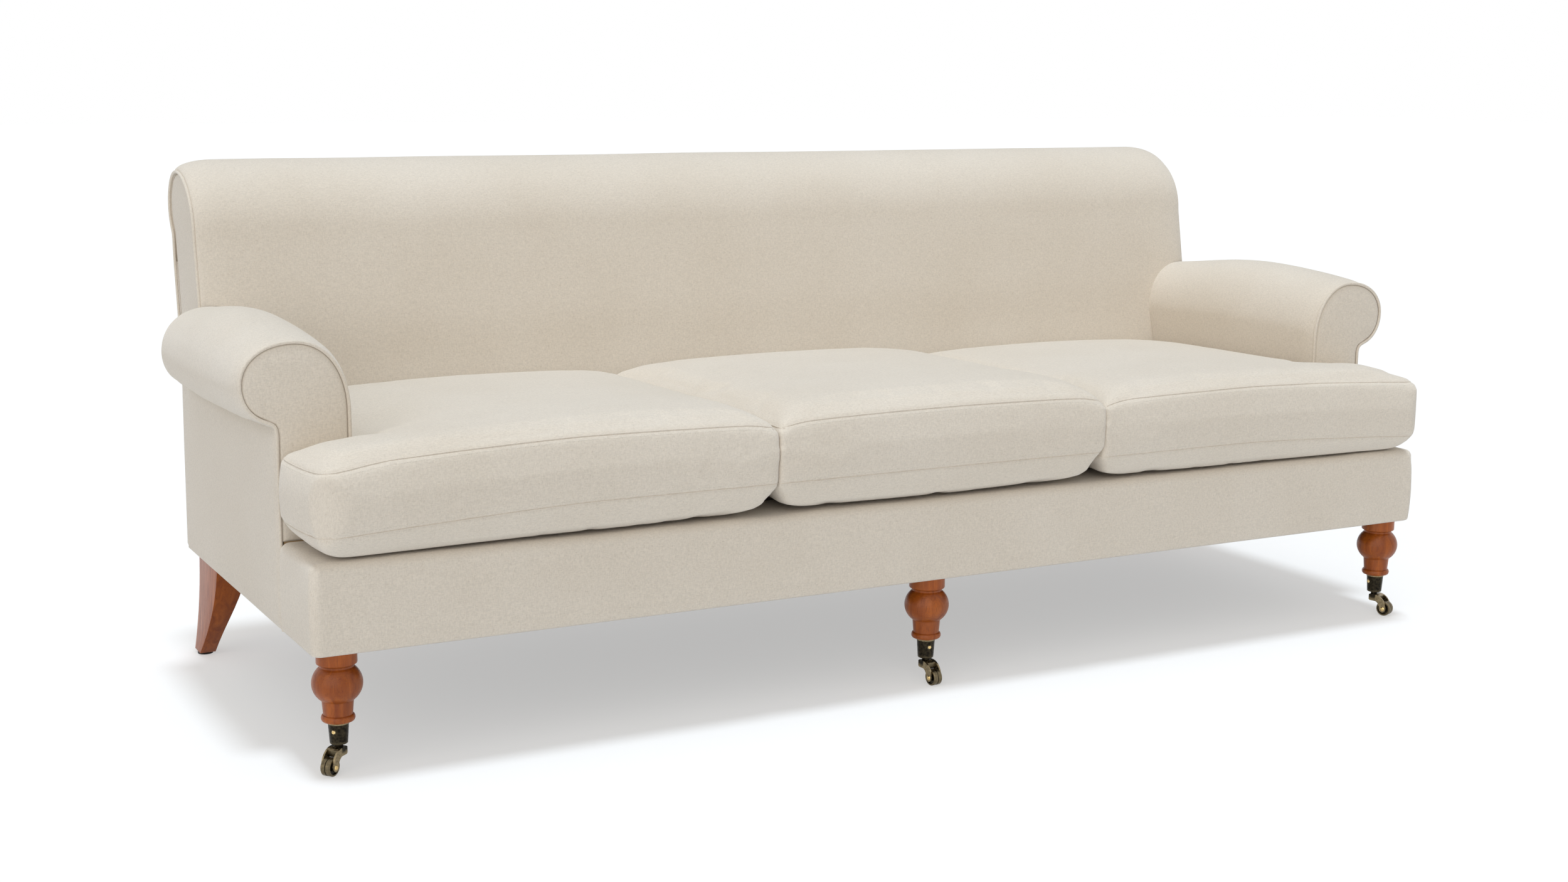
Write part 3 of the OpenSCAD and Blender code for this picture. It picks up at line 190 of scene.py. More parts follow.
weaveLook = {"waver": 1.6, "waverDetail": 1.0, "waverScale": 0.35, "slubRange": (0.58, 0.72),
             "mottleStretch": (190.0, 560.0), "fleckScale": 330.0, "fleckRange": (0.64, 0.72),
             "toneScale": 5.0}


# Plain weave that follows whichever way a face looks: threads along x, y and z, of which the
# one along the face's normal drops out
def makeWeaveGroup():
    tree, given = newGroup(
        "plainWeave",
        [("Vector", "Vector", None), ("Pitch", "Float", 0.001), ("Slub Length", "Float", 0.02),
         ("Slub Width", "Float", 0.0012)],
        ["Thread", "Slub", "Mottle", "Fleck", "Tone"])
    look, position = weaveLook, given["Vector"]
    facing = put(tree, "ShaderNodeNewGeometry").outputs["Normal"]
    weights = scaled(tree, facing, facing)
    scale = calc(tree, "DIVIDE", math.pi / 10, given["Pitch"])
    slubStretch = [calc(tree, "DIVIDE", 1.0, given[k]) for k in ("Slub Length", "Slub Width")]
    threads, slubs, mottles = [], [], []
    for axis in range(3):
        wave = put(tree, "ShaderNodeTexWave",
                   {"Vector": position, "Scale": scale, "Distortion": look["waver"],
                    "Detail": look["waverDetail"], "Detail Scale": look["waverScale"]},
                   wave_type="BANDS", bands_direction="XYZ"[axis])
        threads.append(wave.outputs["Fac"])
        for found, (along, across), limits in ((slubs, slubStretch, look["slubRange"]),
                                               (mottles, look["mottleStretch"], (0.0, 1.0))):
            stretch = put(tree, "ShaderNodeCombineXYZ",
                          {i: along if i == axis else across for i in range(3)}).outputs[0]
            found.append(streaks(tree, position, stretch, *limits))
    sums = []
    for parts in (threads, slubs, mottles):
        packed = put(tree, "ShaderNodeCombineXYZ", dict(enumerate(parts))).outputs[0]
        total, hidden = (put(tree, "ShaderNodeVectorMath", {0: packed, 1: by},
                             operation="DOT_PRODUCT").outputs["Value"] for by in ((1, 1, 1), weights))
        sums.append(calc(tree, "SUBTRACT", total, hidden))
    fleck = noiseAt(tree, position, look["fleckScale"], 1.0)
    put(tree, "NodeGroupOutput",
        {"Thread": calc(tree, "MULTIPLY", sums[0], 0.5),
         "Slub": calc(tree, "MULTIPLY", sums[1], 0.8, clamp=True),
         "Mottle": calc(tree, "MULTIPLY", sums[2], 0.5),
         "Fleck": ranged(tree, fleck, *look["fleckRange"]),
         "Tone": noiseAt(tree, position, look["toneScale"], 3.0)})
    return tree


def makeGrainGroup():
    tree, given = newGroup(
        "woodGrain",
        [("Vector", "Vector", None), ("Stretch", "Vector", (60, 60, 6)),
         ("Pore Stretch", "Vector", (900, 900, 40))],
        ["Grain", "Pore", "Tone"])
    position = given["Vector"]
    put(tree, "NodeGroupOutput",
        {"Grain": noiseAt(tree, scaled(tree, position, given["Stretch"]), 1.0, 5.0, 1.2),
         "Pore": streaks(tree, position, given["Pore Stretch"], 0.56, 0.72),
         "Tone": noiseAt(tree, position, 9.0, 2.0)})
    return tree


def makeWearGroup():
    tree, given = newGroup(
        "edgeWear", [("Vector", "Vector", None), ("Spot Scale", "Float", 240.0)], ["Edge", "Spots"])
    sharp = put(tree, "ShaderNodeNewGeometry").outputs["Pointiness"]
    spots = noiseAt(tree, given["Vector"], given["Spot Scale"], 4.0)
    edge = calc(tree, "MULTIPLY", ranged(tree, sharp, 0.52, 0.60), spots, clamp=True)
    put(tree, "NodeGroupOutput", {"Edge": edge, "Spots": spots})
    return tree


weaveGroup, grainGroup, wearGroup = makeWeaveGroup(), makeGrainGroup(), makeWearGroup()


def newFinish(name):
    material = bpy.data.materials.new(name)
    tree = emptyTree(material)
    return material, tree, put(tree, "ShaderNodeTexCoord").outputs["Object"]


def closeFinish(tree, inputs):
    shader = put(tree, "ShaderNodeBsdfPrincipled", inputs)
    put(tree, "ShaderNodeOutputMaterial", {"Surface": shader.outputs[0]})


def useGroup(tree, group, inputs):
    return put(tree, "ShaderNodeGroup", inputs, node_tree=group).outputs


def blendColours(tree, amount, first, second):
    return put(tree, "ShaderNodeMix", {0: amount, 6: first, 7: second}, data_type="RGBA").outputs[2]


def tint(tree, base, source, share, colour):
    return blendColours(tree, calc(tree, "MULTIPLY", source, share), base, colour)


def relief(tree, strength, depth, height):
    return put(tree, "ShaderNodeBump",
               {"Strength": strength, "Distance": depth, "Height": height}).outputs[0]


clothLook = {"toneGain": 1.6, "toneShift": -0.3, "mottleGain": 4.2, "mottleShift": -1.6, "gap": 0.16,
             "gapShade": 0.72, "fleck": 0.16, "slubRise": 0.6, "polish": -0.10, "shine": 0.18,
             "sheenRough": 0.5}


def clothFinish(name, light, dark, fleck, pitch=0.0010, slub=0.10, bump=0.30, depth=0.0005, rough=0.93,
                sheen=0.25, slubSize=(0.007, 0.0011), grain=0.07):
    material, tree, position = newFinish(name)
    look = clothLook
    weave = useGroup(tree, weaveGroup, {"Vector": position, "Pitch": pitch,
                                        "Slub Length": slubSize[0], "Slub Width": slubSize[1]})
    tone = calc(tree, "MULTIPLY_ADD", weave["Tone"], look["toneGain"], look["toneShift"], clamp=True)
    base = blendColours(tree, tone, rgb(light), rgb(dark))
    shade = calc(tree, "MULTIPLY_ADD", weave["Mottle"], look["mottleGain"], look["mottleShift"],
                 clamp=True)
    deep, pale = [scaled(tree, base, (k, k, k)) for k in (1 - grain, 1 + grain)]
    base = blendColours(tree, shade, deep, pale)
    # The gaps between the threads are painted darker: painted shade in the weave's recesses
    gap = calc(tree, "SUBTRACT", 1.0, weave["Thread"])
    base = tint(tree, base, gap, look["gap"], rgb(dark, look["gapShade"]))
    base = tint(tree, base, weave["Slub"], slub, rgb(fleck))
    base = tint(tree, base, weave["Fleck"], look["fleck"], rgb(fleck))
    raised = calc(tree, "MULTIPLY_ADD", weave["Slub"], look["slubRise"], weave["Thread"])
    closeFinish(tree, {"Base Color": base, "Normal": relief(tree, bump, depth, raised),
                       "Roughness": calc(tree, "MULTIPLY_ADD", weave["Thread"], look["polish"], rough),
                       "Specular IOR Level": look["shine"], "Sheen Weight": sheen,
                       "Sheen Roughness": look["sheenRough"]})
    return material


woodLook = {"band": (0.32, 0.68), "tone": 0.5, "toneShade": 0.62, "pore": 0.55, "poreShade": 0.35,
            "wear": 0.4, "wearLift": 1.5, "spotScale": 90.0, "ringRise": 0.3, "ringDull": 0.2,
            "depth": 0.0003}
metalLook = {"spots": (0.35, 0.65), "wear": 1.6, "bump": 0.15, "depth": 0.0002}


def woodFinish(name, light, dark, stretch, pores, rough, grainDepth=0.25, shine=0.5):
    material, tree, position = newFinish(name)
    look = woodLook
    grain = useGroup(tree, grainGroup, {"Vector": position, "Stretch": stretch, "Pore Stretch": pores})
    wear = useGroup(tree, wearGroup, {"Vector": position, "Spot Scale": look["spotScale"]})
    base = blendColours(tree, ranged(tree, grain["Grain"], *look["band"]), rgb(light), rgb(dark))
    base = tint(tree, base, grain["Tone"], look["tone"], rgb(dark, look["toneShade"]))
    base = tint(tree, base, grain["Pore"], look["pore"], rgb(dark, look["poreShade"]))
    base = tint(tree, base, wear["Edge"], look["wear"], rgb(light, look["wearLift"]))
    rings = calc(tree, "MULTIPLY", grain["Grain"], look["ringRise"])
    height = calc(tree, "SUBTRACT", rings, grain["Pore"])
    closeFinish(tree, {"Base Color": base, "Normal": relief(tree, grainDepth, look["depth"], height),
                       "Roughness": calc(tree, "MULTIPLY_ADD", grain["Grain"], look["ringDull"], rough),
                       "Specular IOR Level": shine})
    return material


def metalFinish(name, clean, patina, edge, rough, cover, spotScale=240.0):
    material, tree, position = newFinish(name)
    wear = useGroup(tree, wearGroup, {"Vector": position, "Spot Scale": spotScale})
    aged = ranged(tree, wear["Spots"], *metalLook["spots"], 0.0, cover)
    base = blendColours(tree, aged, rgb(clean), rgb(patina))
    closeFinish(tree, {"Base Color": tint(tree, base, wear["Edge"], metalLook["wear"], rgb(edge)),
                       "Normal": relief(tree, metalLook["bump"], metalLook["depth"], wear["Spots"]),
                       "Roughness": ranged(tree, aged, 0.0, cover, *rough), "Metallic": 1.0})
    return material


linen = clothFinish("oatLinen", (0.80, 0.728, 0.630), (0.75, 0.672, 0.567), (0.46, 0.355, 0.24),
                    sheen=0.35, slub=0.16, bump=0.5, grain=0.065)
seamThread = clothFinish("seamThread", (0.84, 0.80, 0.72), (0.80, 0.76, 0.67), (0.5, 0.45, 0.36),
                         pitch=0.0006, slub=0.05, bump=0.2, grain=0.03)
deckCloth = clothFinish("deckCloth", (0.62, 0.58, 0.49), (0.56, 0.52, 0.43), (0.33, 0.29, 0.22),
                        pitch=0.0014, slub=0.2)
dustCloth = clothFinish("dustCloth", (0.022, 0.022, 0.024), (0.013, 0.013, 0.014), (0.05, 0.05, 0.055),
                        pitch=0.0022, slub=0.5, bump=0.5, slubSize=(0.006, 0.003), sheen=0.1)
juteWeb = clothFinish("juteWeb", (0.34, 0.25, 0.14), (0.25, 0.18, 0.10), (0.13, 0.09, 0.05),
                      pitch=0.0026, slub=0.4, bump=0.6, depth=0.001)
glideFelt = clothFinish("glideFelt", (0.05, 0.04, 0.034), (0.03, 0.025, 0.022), (0.09, 0.075, 0.06),
                        pitch=0.0015, slub=0.3, bump=0.4)
cherryWood = woodFinish("cherryWood", (0.47, 0.118, 0.012), (0.25, 0.050, 0.005),
                        (75, 75, 7), (1100, 1100, 55), rough=0.24, shine=0.34)
frameWood = woodFinish("frameWood", (0.62, 0.43, 0.24), (0.47, 0.30, 0.15), (7, 70, 70),
                       (40, 900, 900), rough=0.52, grainDepth=0.5)
agedBrass = metalFinish("agedBrass", (0.042, 0.034, 0.021), (0.009, 0.008, 0.007), (0.34, 0.27, 0.16),
                        rough=(0.22, 0.42), cover=0.85)
brightBrass = metalFinish("brightBrass", (0.78, 0.57, 0.24), (0.46, 0.31, 0.12), (0.9, 0.72, 0.4),
                          rough=(0.2, 0.38), cover=0.5)
wireSteel = metalFinish("wireSteel", (0.50, 0.50, 0.50), (0.30, 0.29, 0.28), (0.7, 0.7, 0.7),
                        rough=(0.28, 0.45), cover=0.6, spotScale=120.0)
print("finishes mixed")


def smoothShade(mesh, angle):
    mesh.shade_smooth()
    mesh.set_sharp_from_angle(angle=math.radians(angle))


def addMesh(name, mesh, material, smooth=True):
    if material and not mesh.materials:
        mesh.materials.append(material)
    if smooth:
        smoothShade(mesh, 40)
    return addObject(name, mesh)


def meshFrom(name, points, faces):
    mesh = bpy.data.meshes.new(name)
    mesh.from_pydata([toFrame(p) for p in points], [], faces)
    work = bmesh.new()
    work.from_mesh(mesh)
    bmesh.ops.remove_doubles(work, verts=work.verts, dist=0.00002)
    big = [f for f in work.faces if len(f.verts) > 4]
    bmesh.ops.triangulate(work, faces=big, ngon_method="EAR_CLIP")
    bmesh.ops.recalc_face_normals(work, faces=work.faces)
    work.to_mesh(mesh)
    work.free()
    return mesh


# Skin through rings of equal count, each a closed loop; the end rings are capped
def loft(name, rings):
    count, last = len(rings[0]), (len(rings) - 1) * len(rings[0])
    faces = [(j + i, j + count + i, j + count + (i + 1) % count, j + (i + 1) % count)
             for j in range(0, last, count) for i in range(count)]
    faces += [tuple(range(count)), tuple(range(last, last + count))]
    return meshFrom(name, [p for ring in rings for p in ring], faces)


# Two like grids of points, face to face and closed round the rim
def doubleSheet(name, rows, columns, pointAt):
    points = [pointAt(layer, j / rows, i / columns)
              for layer in (0, 1) for j in range(rows + 1) for i in range(columns + 1)]
    width, sheet = columns + 1, (rows + 1) * (columns + 1)
    faces = []
    for a in (j * width + i for j in range(rows) for i in range(columns)):
        faces.append((a, a + width, a + width + 1, a + 1))
        faces.append((sheet + a, sheet + a + 1, sheet + a + width + 1, sheet + a + width))
    rim = list(range(width)) + [j * width + columns for j in range(1, rows + 1)]
    rim += [rows * width + i for i in range(columns - 1, -1, -1)]
    rim += [j * width for j in range(rows - 1, 0, -1)]
    faces += [(a, b, sheet + b, sheet + a) for a, b in zip(rim, rim[1:] + rim[:1])]
    return meshFrom(name, points, faces)


def prism(name, outline, low, high):
    return loft(name, [[(level, *p) for p in outline] for level in (low, high)])


def applied(piece):
    graph = bpy.context.evaluated_depsgraph_get()
    mesh = bpy.data.meshes.new_from_object(piece.evaluated_get(graph))
    old = piece.data
    piece.modifiers.clear()
    piece.data = mesh
    mesh.name = old.name
    return piece


def bevelled(piece, width, limit=30):
    bevel = piece.modifiers.new("ease", "BEVEL")
    bevel.width, bevel.segments, bevel.limit_method = width * mm, 3, "ANGLE"
    bevel.angle_limit = math.radians(limit)
    return applied(piece)


def coordsOf(mesh):
    values = np.zeros(len(mesh.vertices) * 3)
    mesh.vertices.foreach_get("co", values)
    return values.reshape(-1, 3)


def setCoords(mesh, values):
    mesh.vertices.foreach_set("co", values.ravel())
    mesh.update()


def normalsOf(mesh):
    return np.array([v.normal for v in mesh.vertices])


def edgesOf(mesh):
    return np.array([e.vertices[:] for e in mesh.edges])


# Points in drawing millimetres, with x counted outward on the given side, and back again
def drawn(points, side):
    return points[:, 0] / mm * (side or 1), points[:, 1] / mm - drawingShift, points[:, 2] / mm


def undrawn(x, y, z, side):
    return np.stack([x * (side or 1) * mm, (y + drawingShift) * mm, z * mm], 1)


def arcLine(centre, radii, start, end, count, power=1.0):
    line = []
    for i in range(1, count + 1):
        a = math.radians(start + (end - start) * i / count)
        c, s = math.cos(a), math.sin(a)
        line.append((centre[0] + radii[0] * math.copysign(abs(c) ** power, c),
                     centre[1] + radii[1] * math.copysign(abs(s) ** power, s)))
    return line


def between(start, end, count):
    return [tuple(a + (b - a) * i / count for a, b in zip(start, end)) for i in range(1, count + 1)]


# A smooth curve through a table of values
def curveThrough(xs, ys, x):
    xs, ys = np.asarray(xs, float), np.asarray(ys, float)
    slopes = np.gradient(ys, xs)
    k = min(max(int(np.searchsorted(xs, x)) - 1, 0), len(xs) - 2)
    h = xs[k + 1] - xs[k]
    t = (x - xs[k]) / h
    return float((2 * t ** 3 - 3 * t ** 2 + 1) * ys[k] + (t ** 3 - 2 * t ** 2 + t) * h * slopes[k]
                 + (3 * t ** 2 - 2 * t ** 3) * ys[k + 1] + (t ** 3 - t ** 2) * h * slopes[k + 1])


def smoothStep(low, high, value):
    t = min(max((value - low) / (high - low), 0.0), 1.0)
    return t * t * (3 - 2 * t)


# From 0 at the start to 1 at the end of the run
def ramp(value, start, run):
    return np.clip((value - start) / run, 0, 1)


# Moves points along their normals by soft low ripples, as cloth over padding has
def ripple(mesh, height, wave, seed, keep=None):
    points, normals = coordsOf(mesh), normalsOf(mesh)
    shift = Vector((seed * 3.7, seed * 1.3, seed * 2.1))
    for i, p in enumerate(points):
        share = 1.0 if keep is None else keep(p)
        if share > 0:
            points[i] += normals[i] * height * mm * share * noise.noise(Vector(p) / (wave * mm) + shift)
    setCoords(mesh, points)


def sideName(side):
    return {-1: "Left", 0: "Middle", 1: "Right"}[side]


def sideNode(name, side):
    return f"{name}_{sideName(side).lower()}"


def newBuilder(name, inputs):
    tree = bpy.data.node_groups.new(name, "GeometryNodeTree")
    tree.interface.new_socket("Geometry", in_out="INPUT", socket_type="NodeSocketGeometry")
    found = {label: tree.interface.new_socket(label, in_out="INPUT",
                                              socket_type="NodeSocket" + kind).identifier
             for label, kind in inputs.items()}
    tree.interface.new_socket("Geometry", in_out="OUTPUT", socket_type="NodeSocketGeometry")
    given = put(tree, "NodeGroupInput").outputs
    line = put(tree, "GeometryNodeMeshToCurve", {"Mesh": given["Geometry"]}).outputs[0]
    even = put(tree, "GeometryNodeResampleCurve", {"Curve": line, "Length": given["Step"]},
               mode="LENGTH").outputs[0]
    return tree, found, given, even


def closeBuilder(tree, geometry, material):
    whole = put(tree, "GeometryNodeRealizeInstances", {"Geometry": geometry}).outputs[0]
    soft = put(tree, "GeometryNodeSetShadeSmooth", {"Geometry": whole}).outputs[0]
    painted = put(tree, "GeometryNodeSetMaterial", {"Geometry": soft, "Material": material}).outputs[0]
    put(tree, "NodeGroupOutput", {"Geometry": painted})


def makeCordBuilder():
    tree, found, given, even = newBuilder(
        "cordAlongPath", {"Step": "Float", "Radius": "Float", "Sides": "Int", "Material": "Material"})
    ring = put(tree, "GeometryNodeCurvePrimitiveCircle",
               {"Resolution": given["Sides"], "Radius": given["Radius"]}, mode="RADIUS").outputs[0]
    tube = put(tree, "GeometryNodeCurveToMesh",
               {"Curve": even, "Profile Curve": ring, "Fill Caps": True}).outputs[0]
    closeBuilder(tree, tube, given["Material"])
    return tree, found


def makeStitchBuilder():
    tree, found, given, even = newBuilder(
        "stitchesAlongPath", {"Step": "Float", "Size": "Vector", "Material": "Material"})
    bead = put(tree, "GeometryNodeMeshIcoSphere", {"Radius": 1.0, "Subdivisions": 1}).outputs[0]
    tangent = put(tree, "GeometryNodeInputTangent").outputs[0]
    turn = put(tree, "FunctionNodeAlignRotationToVector", {"Vector": tangent}, axis="X").outputs[0]
    placed = put(tree, "GeometryNodeInstanceOnPoints",
                 {"Points": even, "Instance": bead, "Rotation": turn, "Scale": given["Size"]})
    closeBuilder(tree, placed.outputs[0], given["Material"])
    return tree, found


cordBuilder, stitchBuilder = makeCordBuilder(), makeStitchBuilder()


def buildAlong(name, paths, builder, values, closed):
    points, edges = [], []
    for path in paths:
        first, count = len(points), len(path)
        points += [tuple(p) for p in path]
        edges += [(first + i, first + (i + 1) % count) for i in range(count if closed else count - 1)]
    mesh = bpy.data.meshes.new(name)
    mesh.from_pydata(points, edges, [])
    made = addObject(name, mesh)
    modifier = made.modifiers.new("build", "NODES")
    modifier.node_group, found = builder
    for label, value in values.items():
        modifier[found[label]] = value
    return applied(made)


def layCord(name, paths, radius, material, closed=False, step=3.0, sides=12):
    return buildAlong(name, paths, cordBuilder, {"Step": step * mm, "Radius": radius * mm,
                                                 "Sides": sides, "Material": material}, closed)


def layStitches(name, paths, pitch, size, material, closed=False):
    return buildAlong(name, paths, stitchBuilder, {"Step": pitch * mm, "Size": [v * mm for v in size],
                                                   "Material": material}, closed)


# Shapes shared by the upholstered pieces, as in the CAD
body = {"halfBase": 1060.0, "sideIn": 1052.0, "under": 185.5, "borderTop": 322.5, "deckTop": 337.5,
        "cover": 8.0, "rearFace": 787.0, "setback": 163.0, "frontRake": 10.2, "rearRake": 9.2,
        "seatDepth": 631.0}
arm = {"inside": 945.0, "peak": 1030.0, "rollX": 1113.0, "shoulder": 512.5, "widest": 558.5,
       "rollPeak": 85.0, "rollShoulder": 112.0, "drop": 66.0, "out": 53.0, "under": 58.0,
       "rollBase": 500.5, "tuck": 494.5, "tuckStep": 8.0, "tuckFold": 2.0, "fullness": 0.93,
       "panelY": 168.0, "rollEnd": 703.0, "endRadius": 24.0, "padBottom": 305.0, "wall": 30.0,
       "railTop": 511.5, "height": 624.5, "crown": 19.0, "swell": 3.0, "bulge": 5.0,
       "innerBulge": 9.0, "endSag": 12.0, "welt": 2.4}
rollTable = {"share": [0, 0.035, 0.1, 0.22, 0.36, 0.5, 0.64, 0.78, 0.9, 1],
             "rise": [0, 0.2, 0.42, 0.72, 0.94, 1, 0.82, 0.45, 0.08, -0.2],
             "bulge": [0, 0.7, 1, 1, 1, 1, 0.9, 0.8, 0.7, 0.6],
             "sag": [0, 0.15, 0.35, 0.6, 0.8, 0.9, 1, 1, 1, 1]}
back = {"half": 1041.0, "postOut": 1033.0, "radius": 82.0, "scrollY": 828.0, "scrollZ": 776.5,
        "crown": 729.5, "front": 129.0, "nape": 679.5, "turn": 50.0, "endRun": 60.0,
        "endDrop": 18.0, "endBack": 9.0, "strapFace": 87.1, "welt": 2.4, "panelInset": 5.1,
        "panelRear": 775.0}
frontLean, rearLean = (math.tan(math.radians(body[k])) for k in ("frontRake", "rearRake"))


def frontY(z):
    return body["seatDepth"] + (z - body["deckTop"]) * frontLean


def rearY(z):
    return body["rearFace"] + (z - body["under"]) * rearLean


def armOutline(inset, foot, bulge=0.0, rise=0.0, swell=0.0, sag=0.0, fine=24, wall=10):
    a = arm
    line = [(a["inside"] + inset, foot)]
    line += between(line[0], (a["inside"] + inset, a["shoulder"] - 16), wall)
    line += arcLine((a["peak"], a["shoulder"]),
                    (a["rollPeak"] - inset + bulge, a["rollShoulder"] - inset + rise),
                    180, 90, fine, a["fullness"])
    line += arcLine((a["peak"], a["widest"] - sag),
                    (a["rollX"] - a["peak"] - inset + swell, a["drop"] - inset + rise + sag),
                    90, 0, fine, a["fullness"])
    line += arcLine((body["halfBase"], a["widest"] - sag),
                    (a["out"] - inset + swell, a["under"] - inset), 0, -82, fine)
    corner = max(body["halfBase"] - inset, body["sideIn"] + a["tuckFold"])
    line += [(corner + a["tuckStep"] / 2, a["rollBase"] - a["tuckStep"] / 3 - sag + inset),
             (corner, a["tuck"] - sag)]
    return line


# Same line at an even step
def evenly(line, step):
    points = [np.array(p, float) for p in line]
    dense = [points[0]]
    for p, q in zip(points, points[1:]):
        n = max(1, int(round(np.linalg.norm(q - p) / step)))
        dense += [p + (q - p) * k / n for k in range(1, n + 1)]
    return [tuple(p) for p in dense]


def relaxed(line, times, closed=False):
    points = np.array(line, float)
    for _ in range(times):
        if closed:
            points = 0.5 * points + 0.25 * (np.roll(points, 1, 0) + np.roll(points, -1, 0))
        else:
            points[1:-1] = 0.5 * points[1:-1] + 0.25 * (points[:-2] + points[2:])
    return [tuple(p) for p in points]


# The two arcs of the back's scroll, drawn in by the inset and dropped from the full height
def scrollLine(inset, drop, fine):
    b = back
    line = arcLine((b["scrollY"], b["crown"]),
                   (b["scrollY"] - frontY(b["crown"]) - inset, b["front"] - drop), 180, 90, fine)
    return line + arcLine((b["scrollY"], b["scrollZ"]), (b["radius"] - drop,) * 2, 90, -b["turn"], fine)


def backOutline(inset, drop, foot):
    line = [(frontY(foot) + inset, foot)]
    line += between(line[0], (frontY(back["crown"]) + inset, back["crown"]), 26)
    line += scrollLine(inset, drop, 30)
    return line + between(line[-1], (rearY(back["nape"]), back["nape"]), 6)


panelLook = {"lip": 4.0, "base": 0.3, "tip": 0.0006, "roundness": 2.2}


# Cloth's rise over its padding, which falls to nothing at the edge
def crowned(edge, run, crown):
    return crown * (1 - (1 - min(edge / run, 1.0)) ** panelLook["roundness"])


# Flat padded panel inside a loop of (a, b) points, crowned away from its edge
def panelGrid(name, loop, place, thickness, crown, run, rows, columns):
    loop = np.array(loop, float)
    ends = np.roll(loop, -1, 0)
    along = ends - loop
    low, high = loop[:, 1].min(), loop[:, 1].max()
    tip, base = panelLook["tip"], panelLook["base"]

    def span(level):
        hits = [p[0] + (q[0] - p[0]) * (level - p[1]) / (q[1] - p[1]) for p, q in zip(loop, ends)
                if (p[1] - level) * (q[1] - level) <= 0 and abs(p[1] - q[1]) > 1e-9]
        return min(hits), max(hits)

    def pointAt(layer, up, over):
        share, across = (0.5 - 0.5 * math.cos(math.pi * v) for v in (up, over))
        level = low + (high - low) * min(max(share, tip), 1 - tip)
        left, right = span(level)
        spot = np.array((left + (right - left) * across, level))
        if not layer:
            return place(*spot, 0.0)
        t = np.clip(((spot - loop) * along).sum(1) / np.maximum((along ** 2).sum(1), 1e-9), 0, 1)
        edge = np.linalg.norm(loop + along * t[:, None] - spot, axis=1).min()
        lip = 1 - (1 - min(edge / panelLook["lip"], 1.0)) ** 2
        return place(*spot, crowned(edge, run, crown) + base + (thickness - base) * lip)

    return doubleSheet(name, rows, columns, pointAt)


def cutAway(piece, cutterMesh):
    cutter = addMesh("cutter", cutterMesh, None, smooth=False)
    modifier = piece.modifiers.new("cut", "BOOLEAN")
    modifier.operation, modifier.solver, modifier.object = "DIFFERENCE", "EXACT", cutter
    applied(piece)
    bpy.data.objects.remove(cutter)


armLook = {"stations": 46, "spread": 1.25, "endRings": 9, "endPinch": 0.7, "lip": 2.5, "lipInset": 0.2,
           "ripple": 0.9, "rippleWave": 120, "pucker": 1.3, "puckerWave": 24,
           "puckerOut": (1.052, 1.062), "puckerUp": (0.488, 0.530), "groove": 1.6,
           "panelBase": 3.2, "panelCrown": 2.4, "panelRun": 30, "outsideCrown": 2.5, "outsideRun": 70,
           "outsideLip": (3.0, 4.0), "outsideRipple": 0.5, "outsideWave": 150, "weltRadius": 2.8,
           "closingEdge": 1.5, "cutFar": (1500.0, 900.0)}


def armRing(share, y, inset):
    rise, bulge, sag = (curveThrough(rollTable["share"], rollTable[k], share)
                        for k in ("rise", "bulge", "sag"))
    sag *= arm["endSag"]
    outline = relaxed(armOutline(
        inset, arm["padBottom"], arm["innerBulge"] * bulge, arm["crown"] * rise,
        arm["swell"] * rise + arm["bulge"] * bulge - arm["endSag"] * share / 3, sag), 4)
    outline += [(body["sideIn"], arm["tuck"] - sag), (body["sideIn"], arm["railTop"]),
                (arm["inside"] + arm["wall"], arm["railTop"]),
                (arm["inside"] + arm["wall"], arm["padBottom"])]
    return [(p[0], y, p[1]) for p in outline]


def makeArmPad(side):
    start, radius, look = arm["panelY"], arm["endRadius"], armLook
    length, lip = arm["rollEnd"] - radius - start, look["lip"]
    rings = [armRing(0, start, look["groove"]), armRing(0, start + lip, look["lipInset"])]
    for k in range(1, look["stations"] + 1):
        share = (k / look["stations"]) ** look["spread"]
        rings.append(armRing(share, start + lip + (length - lip) * share, 0))
    for k in range(1, look["endRings"] + 1):
        a = math.pi / 2 * k / look["endRings"]
        rings.append(armRing(1, start + length + radius * math.sin(a),
                             radius * look["endPinch"] * (1 - math.cos(a))))
    mesh = loft("armPad" + sideName(side), [[(x * side, y, z) for x, y, z in ring] for ring in rings])
    piece = addMesh("armPad" + sideName(side), mesh, linen)
    low, (far, high) = arm["padBottom"] - 5, look["cutFar"]
    outline = [(frontY(low), low), (far, low), (far, high), (frontY(high), high)]
    ends = sorted((side * (arm["inside"] - 60), side * (back["half"] + 0.3)))
    cutAway(piece, prism("cutter", outline, *ends))
    ripple(piece.data, look["ripple"], look["rippleWave"], 3 + side)
    ripple(piece.data, look["pucker"], look["puckerWave"], 31 + side,
           keep=lambda p: (smoothStep(*look["puckerOut"], abs(p[0]))
                           * (1 - smoothStep(*look["puckerUp"], p[2]))))
    piece.data.set_sharp_from_angle(angle=math.radians(50))
    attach(piece, "frame")
    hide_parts(sideNode("arm_pad", side))


def makeArmFront(side):
    inset, foot = back["panelInset"], body["borderTop"] + 0.5
    loop = armOutline(inset, foot, fine=16) + [(body["halfBase"] - inset, foot)]
    mesh = panelGrid("armFront" + sideName(side), relaxed(evenly(loop, 4.0), 5),
                     lambda a, b, out: (side * a, arm["panelY"] - out, b), armLook["panelBase"],
                     armLook["panelCrown"], armLook["panelRun"], rows=60, columns=30)
    piece = addMesh("armFront" + sideName(side), mesh, linen)
    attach(piece, "frame")
    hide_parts(sideNode("arm_front", side))


